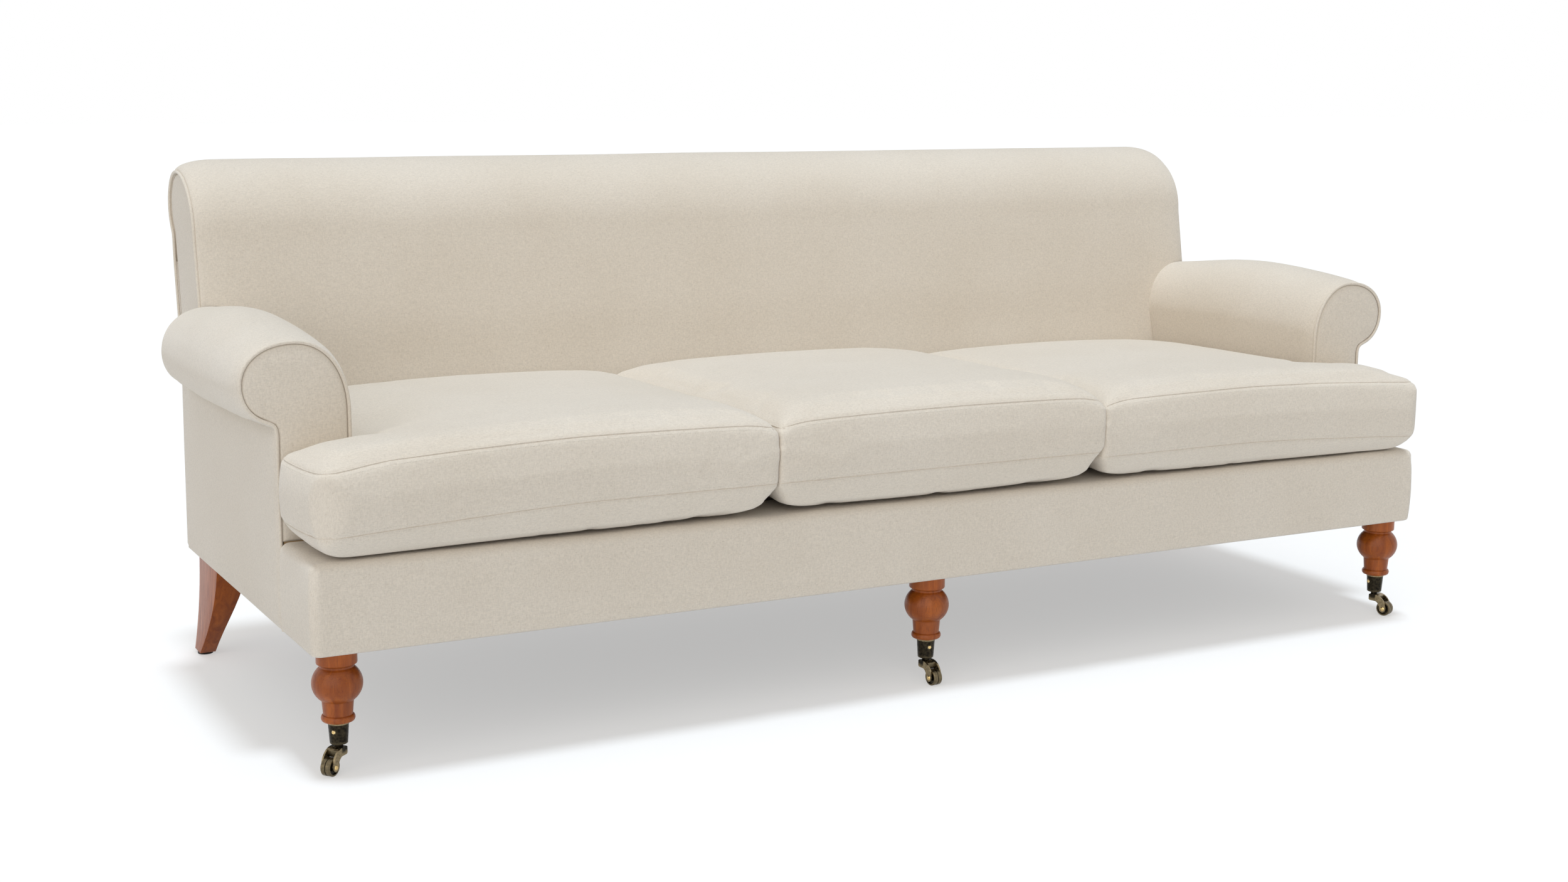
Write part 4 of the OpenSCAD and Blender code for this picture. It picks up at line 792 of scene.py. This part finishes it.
def makeArmWelt(side):
    radius = armLook["weltRadius"]
    loop = armOutline(arm["welt"], body["borderTop"] + 0.5, wall=6)
    loop += between(loop[-1], (body["halfBase"] - arm["welt"], body["under"] + 1), 30)
    path = [toFrame((side * x, body["setback"] + radius, z)) for x, z in relaxed(evenly(loop, 2.5), 12)]
    piece = layCord("armWelt" + sideName(side), [path], radius, linen)
    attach(piece, "frame")
    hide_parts(sideNode("arm_welt", side))


def tuckLevel(y):
    share = min(max((y - arm["panelY"]) / (arm["rollEnd"] - arm["endRadius"] - arm["panelY"]), 0), 1)
    return arm["tuck"] - arm["endSag"] * curveThrough(rollTable["share"], rollTable["sag"], share)


# Clothed slab across the arm's rear, between two planes of x
def closeArm(name, side, section, ends):
    mesh = prism(name, section, *sorted(side * end for end in ends))
    piece = bevelled(addMesh(name + sideName(side), mesh, linen), armLook["closingEdge"])
    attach(piece, "frame")


def makeArmOutside(side):
    start, under, cover, rear = arm["panelY"], body["under"], body["cover"], back["panelRear"]
    shelf, inner = arm["railTop"] + 0.3 + cover, back["half"] + 0.3
    drop, lip = armLook["outsideLip"]

    def rearEdge(z):
        return body["rearFace"] - (body["rearFace"] - rear) * (z - under) / (shelf - under)

    def pointAt(layer, s, t):
        tuck, past = tuckLevel(start + (rear - start) * s), start + (rear - start) * s - arm["rollEnd"]
        high = tuck + (shelf - tuck) * smoothStep(-6, 2, past)
        z = under + (high - under) * t
        y = start + (rearEdge(z) - start) * s
        edge = max(min(y - start, rearEdge(z) - y, z - under, high - z), 0)
        out = crowned(edge, armLook["outsideRun"], armLook["outsideCrown"])
        soft = drop * (1 - min(edge / lip, 1)) ** 2
        return side * (body["halfBase"] - soft + out if layer else body["sideIn"] + 1.5), y, z

    piece = addMesh("armOutside" + sideName(side),
                    doubleSheet("armOutside" + sideName(side), 64, 30, pointAt), linen)
    ripple(piece.data, armLook["outsideRipple"], armLook["outsideWave"], 7 + side)
    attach(piece, "frame")
    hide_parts(sideNode("arm_outside", side))
    # Return behind the roll, which closes the arm to the side of the back
    behind = arm["rollEnd"] + 1
    closeArm("armReturn", side,
             [(behind, shelf), (rear - 2, shelf), (rear, shelf - 2), (body["rearFace"], under),
              (body["rearFace"] - cover, under), (rear - cover, shelf - cover), (behind, shelf - cover)],
             (inner, body["sideIn"] + 2))
    # Cloth over the back post's side, below the end panel
    low, high = under + 0.5, shelf - 0.5
    closeArm("backFoot", side,
             [(rearEdge(low) - 12, low), (rearEdge(high) - 12, high),
              (rearY(high) - cover - 0.3, high), (rearY(low) - cover - 0.3, low)],
             (back["postOut"] + 0.2, inner))


for side in (-1, 1):
    makeArmPad(side)
    makeArmFront(side)
    makeArmWelt(side)
    makeArmOutside(side)
print("arms upholstered")

backLook = {"stations": 40, "endRings": 10, "crown": 5.0, "crownRun": 300.0,
            "crownFrom": (500, 600), "crownTo": (690, 800), "ripple": 1.1,
            "rippleWave": 210, "weltRadius": 2.7, "sideBase": 6.6, "sideCrown": 1.8, "sideRun": 26,
            "outsideBase": 6.0, "outsideCrown": 4.0, "outsideRun": 90, "outsideRipple": 0.8,
            "outsideWave": 220}


def backRing(x, fall, inset=0.0):
    b, foot, look = back, arm["padBottom"], backLook
    held = look["crown"] * min((b["half"] - abs(x)) / look["crownRun"], 1.0)
    outline = relaxed(backOutline(b["endBack"] * fall + inset, b["endDrop"] * fall + inset, foot), 4)
    shaped = [(x, y - held * smoothStep(*look["crownFrom"], z) * (1 - smoothStep(*look["crownTo"], z)), z)
              for y, z in outline]
    return shaped + [(x, rearY(z) - b["strapFace"], z) for z in (b["nape"], foot)]


def makeBackPad():
    half, run, steps, lip = back["half"], back["endRun"], backLook["endRings"], back["panelInset"]
    left = [backRing(-back["postOut"], 1, lip), backRing(-half + 0.4, 1, lip), backRing(-half, 1, 1.0)]
    for k in range(1, steps + 1):
        a = math.pi / 2 * k / steps
        left.append(backRing(-half + run * (1 - math.cos(a)), 1 - math.sin(a)))
    middle = [backRing(x, 0) for x in np.linspace(-half + run, half - run, backLook["stations"])[1:-1]]
    right = [[(-x, y, z) for x, y, z in ring] for ring in reversed(left)]
    piece = addMesh("backPad", loft("backPad", left + middle + right), linen)
    ripple(piece.data, backLook["ripple"], backLook["rippleWave"], 11,
           keep=lambda p: 1.0 if p[2] > 0.5 else 0.3)
    piece.data.set_sharp_from_angle(angle=math.radians(50))
    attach(piece, "frame")
    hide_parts("back_pad")


def sideLine(inset):
    total, start = back["endBack"] + inset, arm["railTop"] + 0.3
    line = [(frontY(z) + total, z) for z in (start, back["crown"])]
    return line + scrollLine(total, back["endDrop"] + inset, 24)


def makeBackSide(side):
    b, cover = back, body["cover"]
    loop = sideLine(b["panelInset"]) + [(rearY(b["nape"]) - cover, b["nape"]),
                                        (rearY(arm["railTop"]) - cover, arm["railTop"] + 0.3)]
    mesh = panelGrid("backSide" + sideName(side), loop,
                     lambda a, z, out: (side * (b["postOut"] + out), a, z), backLook["sideBase"],
                     backLook["sideCrown"], backLook["sideRun"], rows=60, columns=18)
    piece = addMesh("backSide" + sideName(side), mesh, linen)
    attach(piece, "frame")
    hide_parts(sideNode("back_side", side))
    start, shelf = arm["height"] - 30, arm["railTop"] + cover + 1
    line = [(frontY(start) + b["endBack"] + b["welt"], start)]
    line += [p for p in sideLine(b["welt"]) if p[1] > start or p[0] > b["scrollY"]]
    line += [(rearY(z) - b["welt"], z) for z in (b["nape"], shelf)]
    path = [toFrame((side * (b["half"] + 1.6), y, z)) for y, z in relaxed(evenly(line, 4.0), 6)]
    welt = layCord("backWelt" + sideName(side), [path], backLook["weltRadius"], linen)
    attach(welt, "frame")
    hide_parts(sideNode("back_welt", side))


def makeBackOutside():
    half, low, high, look = back["half"], body["under"], back["nape"], backLook
    mesh = panelGrid("backOutside", [(-half, low), (half, low), (half, high), (-half, high)],
                     lambda a, z, out: (a, rearY(z) - body["cover"] + out, z), look["outsideBase"],
                     look["outsideCrown"], look["outsideRun"], rows=40, columns=90)
    piece = addMesh("backOutside", mesh, linen)
    ripple(piece.data, look["outsideRipple"], look["outsideWave"], 17)
    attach(piece, "frame")
    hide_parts("back_outside")


makeBackPad()
makeBackOutside()
for side in (-1, 1):
    makeBackSide(side)
print("back upholstered")

borderLook = {"edge": 15.0, "swell": 2.2, "foot": 4.0, "wall": 12.0, "faceSteps": 24, "frontSteps": 120,
              "edgeAngles": (12, 24, 36, 48, 60, 72, 82, 90), "topDepths": (20, 30, 45, 65, 90, 120),
              "cornerSteps": 22, "fold": 2.2, "foldWidth": 3.0, "ripple": 0.9, "rippleWave": 90}


def makeBorder():
    half, depth, low, high = body["halfBase"], body["setback"], body["under"], body["borderTop"]
    look = borderLook
    edge, wall, foot = look["edge"], look["wall"], look["foot"]
    section = [(wall, low + 30), (wall, low + 0.5), (foot, low), (foot * 0.3, low + foot * 0.35),
               (0, low + foot)]
    for k in range(1, look["faceSteps"] + 1):
        share = k / look["faceSteps"]
        section.append((-look["swell"] * math.sin(math.pi * share) ** 0.8 if share < 1 else 0,
                        low + foot + (high - edge - low - foot) * share))
    section += [(edge * (1 - math.cos(a)), high - edge + edge * math.sin(a))
                for a in map(math.radians, look["edgeAngles"])]
    section += [(d, high) for d in look["topDepths"]]
    section += [(look["topDepths"][-1], high - 8), (wall + 8, high - 14), (wall + 2, high - 30)]

    def contour(inset, z):
        radius = max(edge - max(inset, 0), 0.4)
        x, y = half - inset, inset
        left, right = ([(middle + radius * math.cos(a), y + radius + radius * math.sin(a), z)
                        for a in np.radians(np.linspace(start, start + 90, look["cornerSteps"]))]
                       for middle, start in ((-x + radius, 180), (x - radius, 270)))
        front = [(float(v), y, z) for v in np.linspace(-x + radius, x - radius, look["frontSteps"])[1:-1]]
        ends = [[(e, depth, z), (e, depth * 0.6 + y * 0.4, z)] for e in (-x, x)]
        return ends[0] + left + front + right + ends[1][::-1]

    rings = [contour(d, z) for d, z in section]
    count, last = len(rings[0]), (len(rings) - 1) * len(rings[0])
    faces = [(j + i, j + count + i, j + count + i + 1, j + i + 1)
             for j in range(0, last, count) for i in range(count - 1)]
    faces += [(last + i, i, i + 1, last + i + 1) for i in range(count - 1)]
    faces += [tuple(range(first, last + count, count)) for first in (0, count - 1)]
    piece = addMesh("frontBorder", meshFrom("frontBorder", [p for r in rings for p in r], faces), linen)
    ripple(piece.data, look["ripple"], look["rippleWave"], 23, keep=lambda p: smoothStep(0.2, 0.26, p[2]))
    points = coordsOf(piece.data)
    for side in (-1, 1):
        x, y, z = drawn(points, side)
        line = half - 12 + 0.35 * (high - z)
        crease = np.exp(-((x - line) / look["foldWidth"]) ** 2) * (y < 30) * ramp(z, 285, 30)
        points[:, 1] += look["fold"] * mm * crease
        points[:, 2] -= look["fold"] * 0.5 * mm * crease * (z > high - 3)
    setCoords(piece.data, points)
    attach(piece, "frame")
    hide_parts("front_border")


deckLook = {"low": 302.0, "edge": 15.0, "band": 62, "lift": 0.3, "stitchPitch": 5.0,
            "stitchSize": (1.9, 0.45, 0.45)}


def makeDeck():
    top, front, step = body["deckTop"], body["setback"] + 0.3, body["borderTop"]
    low, edge = deckLook["low"], deckLook["edge"]
    section = [(front, low), (front, step - 2)]
    section += [(front + edge - edge * math.cos(a), step + edge * math.sin(a))
                for a in map(math.radians, range(0, 91, 15))]
    section += [(front + edge + 40 * k, top) for k in range(1, 11)]
    section += [(frontY(z) - 0.5, z) for z in (top, low)]
    half = arm["inside"] - 0.4
    rings = [[(float(x), y, z) for y, z in section] for x in np.linspace(-half, half, 70)]
    piece = addMesh("seatDeck", loft("seatDeck", rings), deckCloth)
    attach(piece, "frame")
    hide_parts("seat_deck")
    over = top + deckLook["lift"]
    seams = [[toFrame((x, front + deckLook["band"], over)) for x in np.linspace(-half + 3, half - 3, 200)]]
    seams += [[toFrame((x, y, over)) for y in np.linspace(front + 20, frontY(top) - 4, 60)]
              for x in (-half / 3, half / 3)]
    stitches = layStitches("deckStitches", seams, deckLook["stitchPitch"], deckLook["stitchSize"],
                           seamThread)
    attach(stitches, "frame")


dustLook = {"front": 12, "slack": 3.5, "thick": 1.0, "lift": 0.4}


def makeDustCover():
    half, low, front = body["sideIn"], body["under"], dustLook["front"]
    rearEnd = rearY(low) - body["cover"]

    def pointAt(layer, s, t):
        slack = dustLook["slack"] * abs(math.sin(math.pi * s * 2)) * math.sin(math.pi * t)
        return (-half + 2 * half * s, front + (rearEnd - front) * t,
                low - slack + dustLook["thick"] * layer + dustLook["lift"])

    piece = addMesh("dustCover", doubleSheet("dustCover", 60, 24, pointAt), dustCloth)
    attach(piece, "frame")
    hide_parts("dust_cover")


makeBorder()
makeDeck()
makeDustCover()
print("base covered")

cushionLook = {"voxel": 7.0, "start": 4.0, "pressure": 4.0, "frames": 20, "quality": 4, "cap": 10.0,
               "blur": 40, "fullness": 0.3, "folds": 0.55, "smooth": 2, "valley": 30.0,
               "valleyAt": (935, 285), "valleyRun": (110, 120), "seamValley": 26,
               "seamValleyAt": (935, 270), "seamValleyRun": (55, 125), "seamEarDrop": 8,
               "earRounds": 22, "earOut": {-1: 17.0, 1: 3.0}, "earRadius": {-1: 58.0, 1: 30.0},
               "layDown": 5.0, "jointFill": 5.0, "frontRoll": 7.0, "sideFall": 9.0, "fallRun": 30.0,
               "pinch": 1.1, "pinchRun": 4.5, "pucker": 0.35, "puckerWave": 70, "seamRadius": 0.95,
               "seamStep": 4.0, "rayFrom": 25.0, "rayReach": 70.0, "stitchGap": 6.0, "stitchPitch": 4.2,
               "stitchSize": (1.5, 0.34, 0.34)}
cushionShape = {"front": -23.0, "low": 379.5, "high": 476.5, "earX": 1047.0, "earY": 162.0,
                "side": 935.0, "joint": 315.3, "middleHalf": 314.3, "droop": 13.0, "sagRun": 306.0,
                "earReach": 102.0, "bow": 5.0, "fall": 8.0, "settle": 9.0}
clearance = {"deck": 0.5, "border": 2.6, "joint": 0.2, "arm": 1.5, "back": 0.6}


def roundedLoop(corners, radii):
    line, count = [], len(corners)
    for i, radius in enumerate(radii):
        before, here, after = (np.array(corners[k % count], float) for k in (i - 1, i, i + 1))
        a, b = (here + (p - here) / np.linalg.norm(p - here) * radius for p in (before, after))
        line += [(1 - t) ** 2 * a + 2 * t * (1 - t) * here + t * t * b for t in np.linspace(0, 1, 6)]
    dense = []
    for p, q in zip(line, line[1:] + line[:1]):
        n = max(1, int(np.linalg.norm(q - p) / cushionLook["seamStep"]))
        dense += [p + (q - p) * k / n for k in range(n)]
    return dense


def hollow(x, y, centre, run):
    return np.exp(-((x - centre[0]) / run[0]) ** 2 - ((y - centre[1]) / run[1]) ** 2)


# How far a point lies in from its cushion's joint
def inFromJoint(x, side):
    return x - cushionShape["joint"] if side else cushionShape["middleHalf"] - abs(x)


def sideFall(inward):
    look = cushionLook
    return look["sideFall"] * np.exp(-(np.maximum(inward, 0) / look["fallRun"]) ** 1.3)


def cushionSeams(side):
    c, look = cushionShape, cushionLook
    settle = c["settle"] if side > 0 else 0.0
    low, high, front = c["low"] - settle, c["high"] - settle, c["front"]
    rear = frontY(low - (c["droop"] * 1.4 if side else 0)) - 3
    if side:
        left, right, earY = c["joint"], c["earX"], c["earY"]
        tip = right + look["earOut"][side]
        corners = [(left, front), (tip - 8, front), (tip, earY), (c["side"], earY), (c["side"], rear),
                   (left, rear)]
        radii = [5, look["earRadius"][side], 16, 10, 14, 14]
    else:
        left, right = -c["middleHalf"], c["middleHalf"]
        corners, radii = [(left, front), (right, front), (right, rear), (left, rear)], [5, 5, 14, 14]

    def seamPoint(x, y, top):
        z = high if top else low
        if side:
            sag = (max(x - c["side"] + c["sagRun"], 0) / (c["earReach"] + c["sagRun"])) ** 1.3
            z -= c["droop"] * sag * (1.0 if top else 1.4)
        if top:
            z -= sideFall(inFromJoint(x, side))
            if side < 0:
                z -= look["seamEarDrop"] * smoothStep(930, 1050, x)
                z -= look["seamValley"] * hollow(x, y, look["seamValleyAt"], look["seamValleyRun"])
            z += c["bow"] * math.sin(math.pi * (x - left) / (right - left))
            z -= c["fall"] * max((y - body["setback"]) / (rear - body["setback"]), 0)
            y += max(z - low, 0) * frontLean * smoothStep(rear - 20, rear, y)
        return x * (side or 1), y, z

    outline = roundedLoop(corners, radii)
    return [[seamPoint(x, y, top) for x, y in outline] for top in (True, False)]


# Keeps a cushion off its neighbours: flat where it meets them, the deck, the arm or the back
def keepClear(mesh, side):
    c, gap, wall = cushionShape, clearance, arm["inside"] - clearance["arm"]
    x, y, z = drawn(coordsOf(mesh), side)
    top, low = body["deckTop"] + gap["deck"], body["borderTop"] + gap["border"]
    floor = low + (top - low) * ramp(y, 0, body["setback"])
    z = np.where(y > -2, np.maximum(z, floor), z)
    if side:
        x = np.maximum(x, c["joint"] - gap["joint"])
        x = np.where(y > c["earY"] + gap["arm"], np.minimum(x, wall), x)
        y = np.where(x > wall, np.minimum(y, c["earY"] - gap["arm"]), y)
    else:
        half = c["middleHalf"] + gap["joint"]
        x = np.clip(x, -half, half)
    setCoords(mesh, undrawn(x, np.minimum(y, frontY(z) - gap["back"]), z, side))


def neighbourMean(edges, values):
    total = np.zeros_like(values)
    for a, b in ((0, 1), (1, 0)):
        for axis in range(values.shape[1]):
            total[:, axis] += np.bincount(edges[:, a], values[edges[:, b], axis], len(values))
    return total / np.bincount(edges.ravel(), minlength=len(values))[:, None]


# Cloth pressure gives the folds; the cushion's own form is kept but for part of its fullness
def swell(piece, look):
    before, normals, edges = coordsOf(piece.data), normalsOf(piece.data), edgesOf(piece.data)
    cloth = piece.modifiers.new("swell", "CLOTH")
    cloth.settings.quality = look["quality"]
    cloth.settings.use_pressure = True
    cloth.settings.uniform_pressure_force = look["pressure"]
    cloth.settings.effector_weights.gravity = 0
    cloth.collision_settings.use_collision = False
    cloth.point_cache.frame_start, cloth.point_cache.frame_end = 1, look["frames"]
    for step in range(1, look["frames"] + 1):
        bpy.context.scene.frame_set(step)
    applied(piece)
    bpy.context.scene.frame_set(1)
    push = ((coordsOf(piece.data) - before) * normals).sum(1)[:, None]
    push = np.clip(push, -look["cap"] * mm, look["cap"] * mm)
    wide, start = push, look["start"] * mm
    for _ in range(look["blur"]):
        wide = 0.5 * wide + 0.5 * neighbourMean(edges, wide)
    final = start + look["fullness"] * np.maximum(wide - start, -2 * mm) + look["folds"] * (push - wide)
    setCoords(piece.data, before + normals * final)


# Rounds the mesh where the mask says, by moving points toward their neighbours' middle
def soften(mesh, mask, times):
    points, edges = coordsOf(mesh), edgesOf(mesh)
    share = mask(*drawn(points, 1))[:, None]
    for _ in range(times):
        points += share * 0.5 * (neighbourMean(edges, points) - points)
    setCoords(mesh, points)


def surfaceFinder(mesh):
    work = bmesh.new()
    work.from_mesh(mesh)
    tree = BVHTree.FromBMesh(work)
    work.free()
    return tree


# Carries a loop onto the surface by rays from outside, level with the loop
def carried(loop, finder, lift=0.0):
    path, look = [toFrame(p) for p in loop], cushionLook
    count = len(path)
    turn = sum(p.x * q.y - q.x * p.y for p, q in zip(path, path[1:] + path[:1]))
    points = []
    for i, p in enumerate(path):
        along = path[(i + 3) % count] - path[i - 3]
        outward = Vector((along.y, -along.x, 0)).normalized() * math.copysign(1, turn)
        spot = finder.ray_cast(p + outward * look["rayFrom"] * mm, -outward, look["rayReach"] * mm)[0]
        points.append((spot or finder.find_nearest(p)[0]) + outward * lift * mm)
    return [Vector(p) for p in relaxed([tuple(p) for p in points], 3, closed=True)]


def pinchAlong(mesh, paths, look, seed):
    spots = [p for path in paths for p in path]
    tree = KDTree(len(spots))
    for i, p in enumerate(spots):
        tree.insert(p, i)
    tree.balance()
    points, normals = coordsOf(mesh), normalsOf(mesh)
    run = look["pinchRun"] * mm
    for i, p in enumerate(points):
        spot, _, distance = tree.find(p)
        if distance < run * 5:
            fold = noise.noise(Vector(spot) * look["puckerWave"] + Vector((seed, 0, 0))) * look["pucker"]
            deep = math.exp(-(distance / run) ** 2) * look["pinch"]
            deep += fold * math.exp(-(distance / (run * 2.4)) ** 2)
            points[i] -= normals[i] * deep * mm
    setCoords(mesh, points)


# The outer end: drawn out, rounded in plan at the front, and on the left sunk beside the arm
def settleEar(mesh, side, look):
    if side < 0:
        soften(mesh, lambda x, y, z: ramp(-x, 950, 60) * ramp(z, 395, 40), look["earRounds"])
    x, y, z = drawn(coordsOf(mesh), side)
    x = x + look["earOut"][side] * ramp(x, 940, 100)
    radius = look["earRadius"][side]
    centreX, centreY = x.max() - 5 - radius, cushionShape["front"] - 3 + radius
    away = np.hypot(x - centreX, y - centreY)
    outside = (x > centreX) & (y < centreY) & (away > radius)
    share = np.where(outside, radius / np.maximum(away, 1e-6), 1.0)
    x, y = centreX + (x - centreX) * share, centreY + (y - centreY) * share
    if side < 0:
        z = z - look["valley"] * hollow(x, y, look["valleyAt"], look["valleyRun"]) * ramp(z, 440, 30)
    setCoords(mesh, undrawn(x, y, z, side))


# The belly's front drops until it all but lies on the border, and the band fills its joints
def layDown(mesh, side, look):
    points = coordsOf(mesh)
    x, y, z = drawn(points, side)
    band = np.clip((482 - z) / 22, 0, 1) * ramp(z, 352, 25)
    joint = cushionShape["joint" if side else "middleHalf"]
    beside = np.clip(1 - np.abs(np.abs(x) - joint) / 45, 0, 1) * (np.abs(x) < 600)
    points[:, 0] += np.sign(x) * (-side or 1) * look["jointFill"] * mm * band * beside
    inward, behind = inFromJoint(x, side), y - cushionShape["front"]
    belly = np.clip((150 - y) / 90, 0, 1) * np.clip((378 - z) / 45, 0, 1)
    points[:, 2] -= look["layDown"] * mm * belly * np.clip((inward - 40) / 200, -0.3, 1)
    roll = ramp(behind, 0, 26) * (1 - ramp(behind, 60, 170)) * ramp(inward, 0, 60) * ramp(z, 468, 8)
    points[:, 2] += (look["frontRoll"] * roll - sideFall(inward) * ramp(z, 440, 30)) * mm
    setCoords(mesh, points)


# Copy of a node's mesh, its points merged and its normals outward
def nodeMesh(nodeName, meshName, merge, change):
    work = bmesh.new()
    work.from_mesh(nodes[nodeName].data)
    bmesh.ops.remove_doubles(work, verts=work.verts, dist=merge)
    bmesh.ops.recalc_face_normals(work, faces=work.faces)
    change(work)
    mesh = bpy.data.meshes.new(meshName)
    work.to_mesh(mesh)
    work.free()
    return mesh


def makeCushion(side):
    label, look = sideName(side), cushionLook
    bodyName = sideNode("cushion", side)

    def drawIn(work):
        for v in work.verts:
            v.co -= v.normal * look["start"] * mm

    mesh = nodeMesh("seat_" + bodyName, "seatCushion" + label, 0.00002, drawIn)
    piece = addMesh("seatCushion" + label, mesh, linen, smooth=False)
    remesh = piece.modifiers.new("even", "REMESH")
    remesh.mode, remesh.voxel_size, remesh.use_smooth_shade = "VOXEL", look["voxel"] * mm, True
    settle = piece.modifiers.new("settle", "SMOOTH")
    settle.factor, settle.iterations = 0.5, look["smooth"]
    applied(piece)
    swell(piece, look)
    if side:
        settleEar(piece.data, side, look)
    layDown(piece.data, side, look)
    keepClear(piece.data, side)
    finder = surfaceFinder(piece.data)
    loops = cushionSeams(side)
    seams = [carried(loop, finder) for loop in loops]
    finer = piece.modifiers.new("finer", "SUBSURF")
    finer.levels = finer.render_levels = 1
    applied(piece)
    pinchAlong(piece.data, seams, look, side * 5.0)
    keepClear(piece.data, side)
    piece.data.shade_smooth()
    if not piece.data.materials:
        piece.data.materials.append(linen)
    finder = surfaceFinder(piece.data)
    seams = [carried(loop, finder, lift=0.5) for loop in loops]
    rows = [carried([(x, y, z + gap) for x, y, z in loop], finder, lift=0.15)
            for loop, gap in zip(loops, (-look["stitchGap"], look["stitchGap"]))]
    seam = layCord("cushionSeam" + label, seams, look["seamRadius"], linen, closed=True, sides=8)
    stitch = layStitches("cushionStitch" + label, rows, look["stitchPitch"], look["stitchSize"],
                         seamThread, closed=True)
    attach(piece, bodyName)
    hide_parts("seat_" + bodyName)
    for extra in (seam, stitch):
        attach(extra, bodyName)
    print("cushion", label, len(piece.data.vertices), "points")


for side in (-1, 0, 1):
    makeCushion(side)

finishes = {"frame_wood": frameWood, "leg_wood": cherryWood, "caster_brass": agedBrass,
            "bright_brass": brightBrass, "steel": wireSteel, "webbing": juteWeb, "glide": glideFelt,
            "linen": linen, "dust_cloth": dustCloth, "deck_cloth": deckCloth}
slotOfNode = {part["node"]: part["material_slot"] for part in frame["record"]["subparts"]}
for name, thing in nodes.items():
    for held in thing.material_slots:
        held.material = finishes[slotOfNode[name]]

legLook = {"edge": 1.6, "bevelFrom": 40, "sharpFrom": 35, "flatWithin": 1.0}


# The rear legs with their edges eased: the same solid, merged and given small rounds
def easeLeg(side):
    def flatten(work):
        bmesh.ops.dissolve_limit(work, angle_limit=math.radians(legLook["flatWithin"]),
                                 verts=work.verts, edges=work.edges)

    nodeName, pieceName = sideNode("rear_leg", side), "rearLeg" + sideName(side)
    slot = slotOfNode[nodeName]
    mesh = nodeMesh(nodeName, pieceName, 0.000005, flatten)
    piece = addMesh(pieceName, mesh, finishes[slot], smooth=False)
    bevelled(piece, legLook["edge"], legLook["bevelFrom"])
    smoothShade(piece.data, legLook["sharpFrom"])
    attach(piece, "frame")
    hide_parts(nodeName)


for side in (-1, 1):
    easeLeg(side)
print("wood and metal finished")
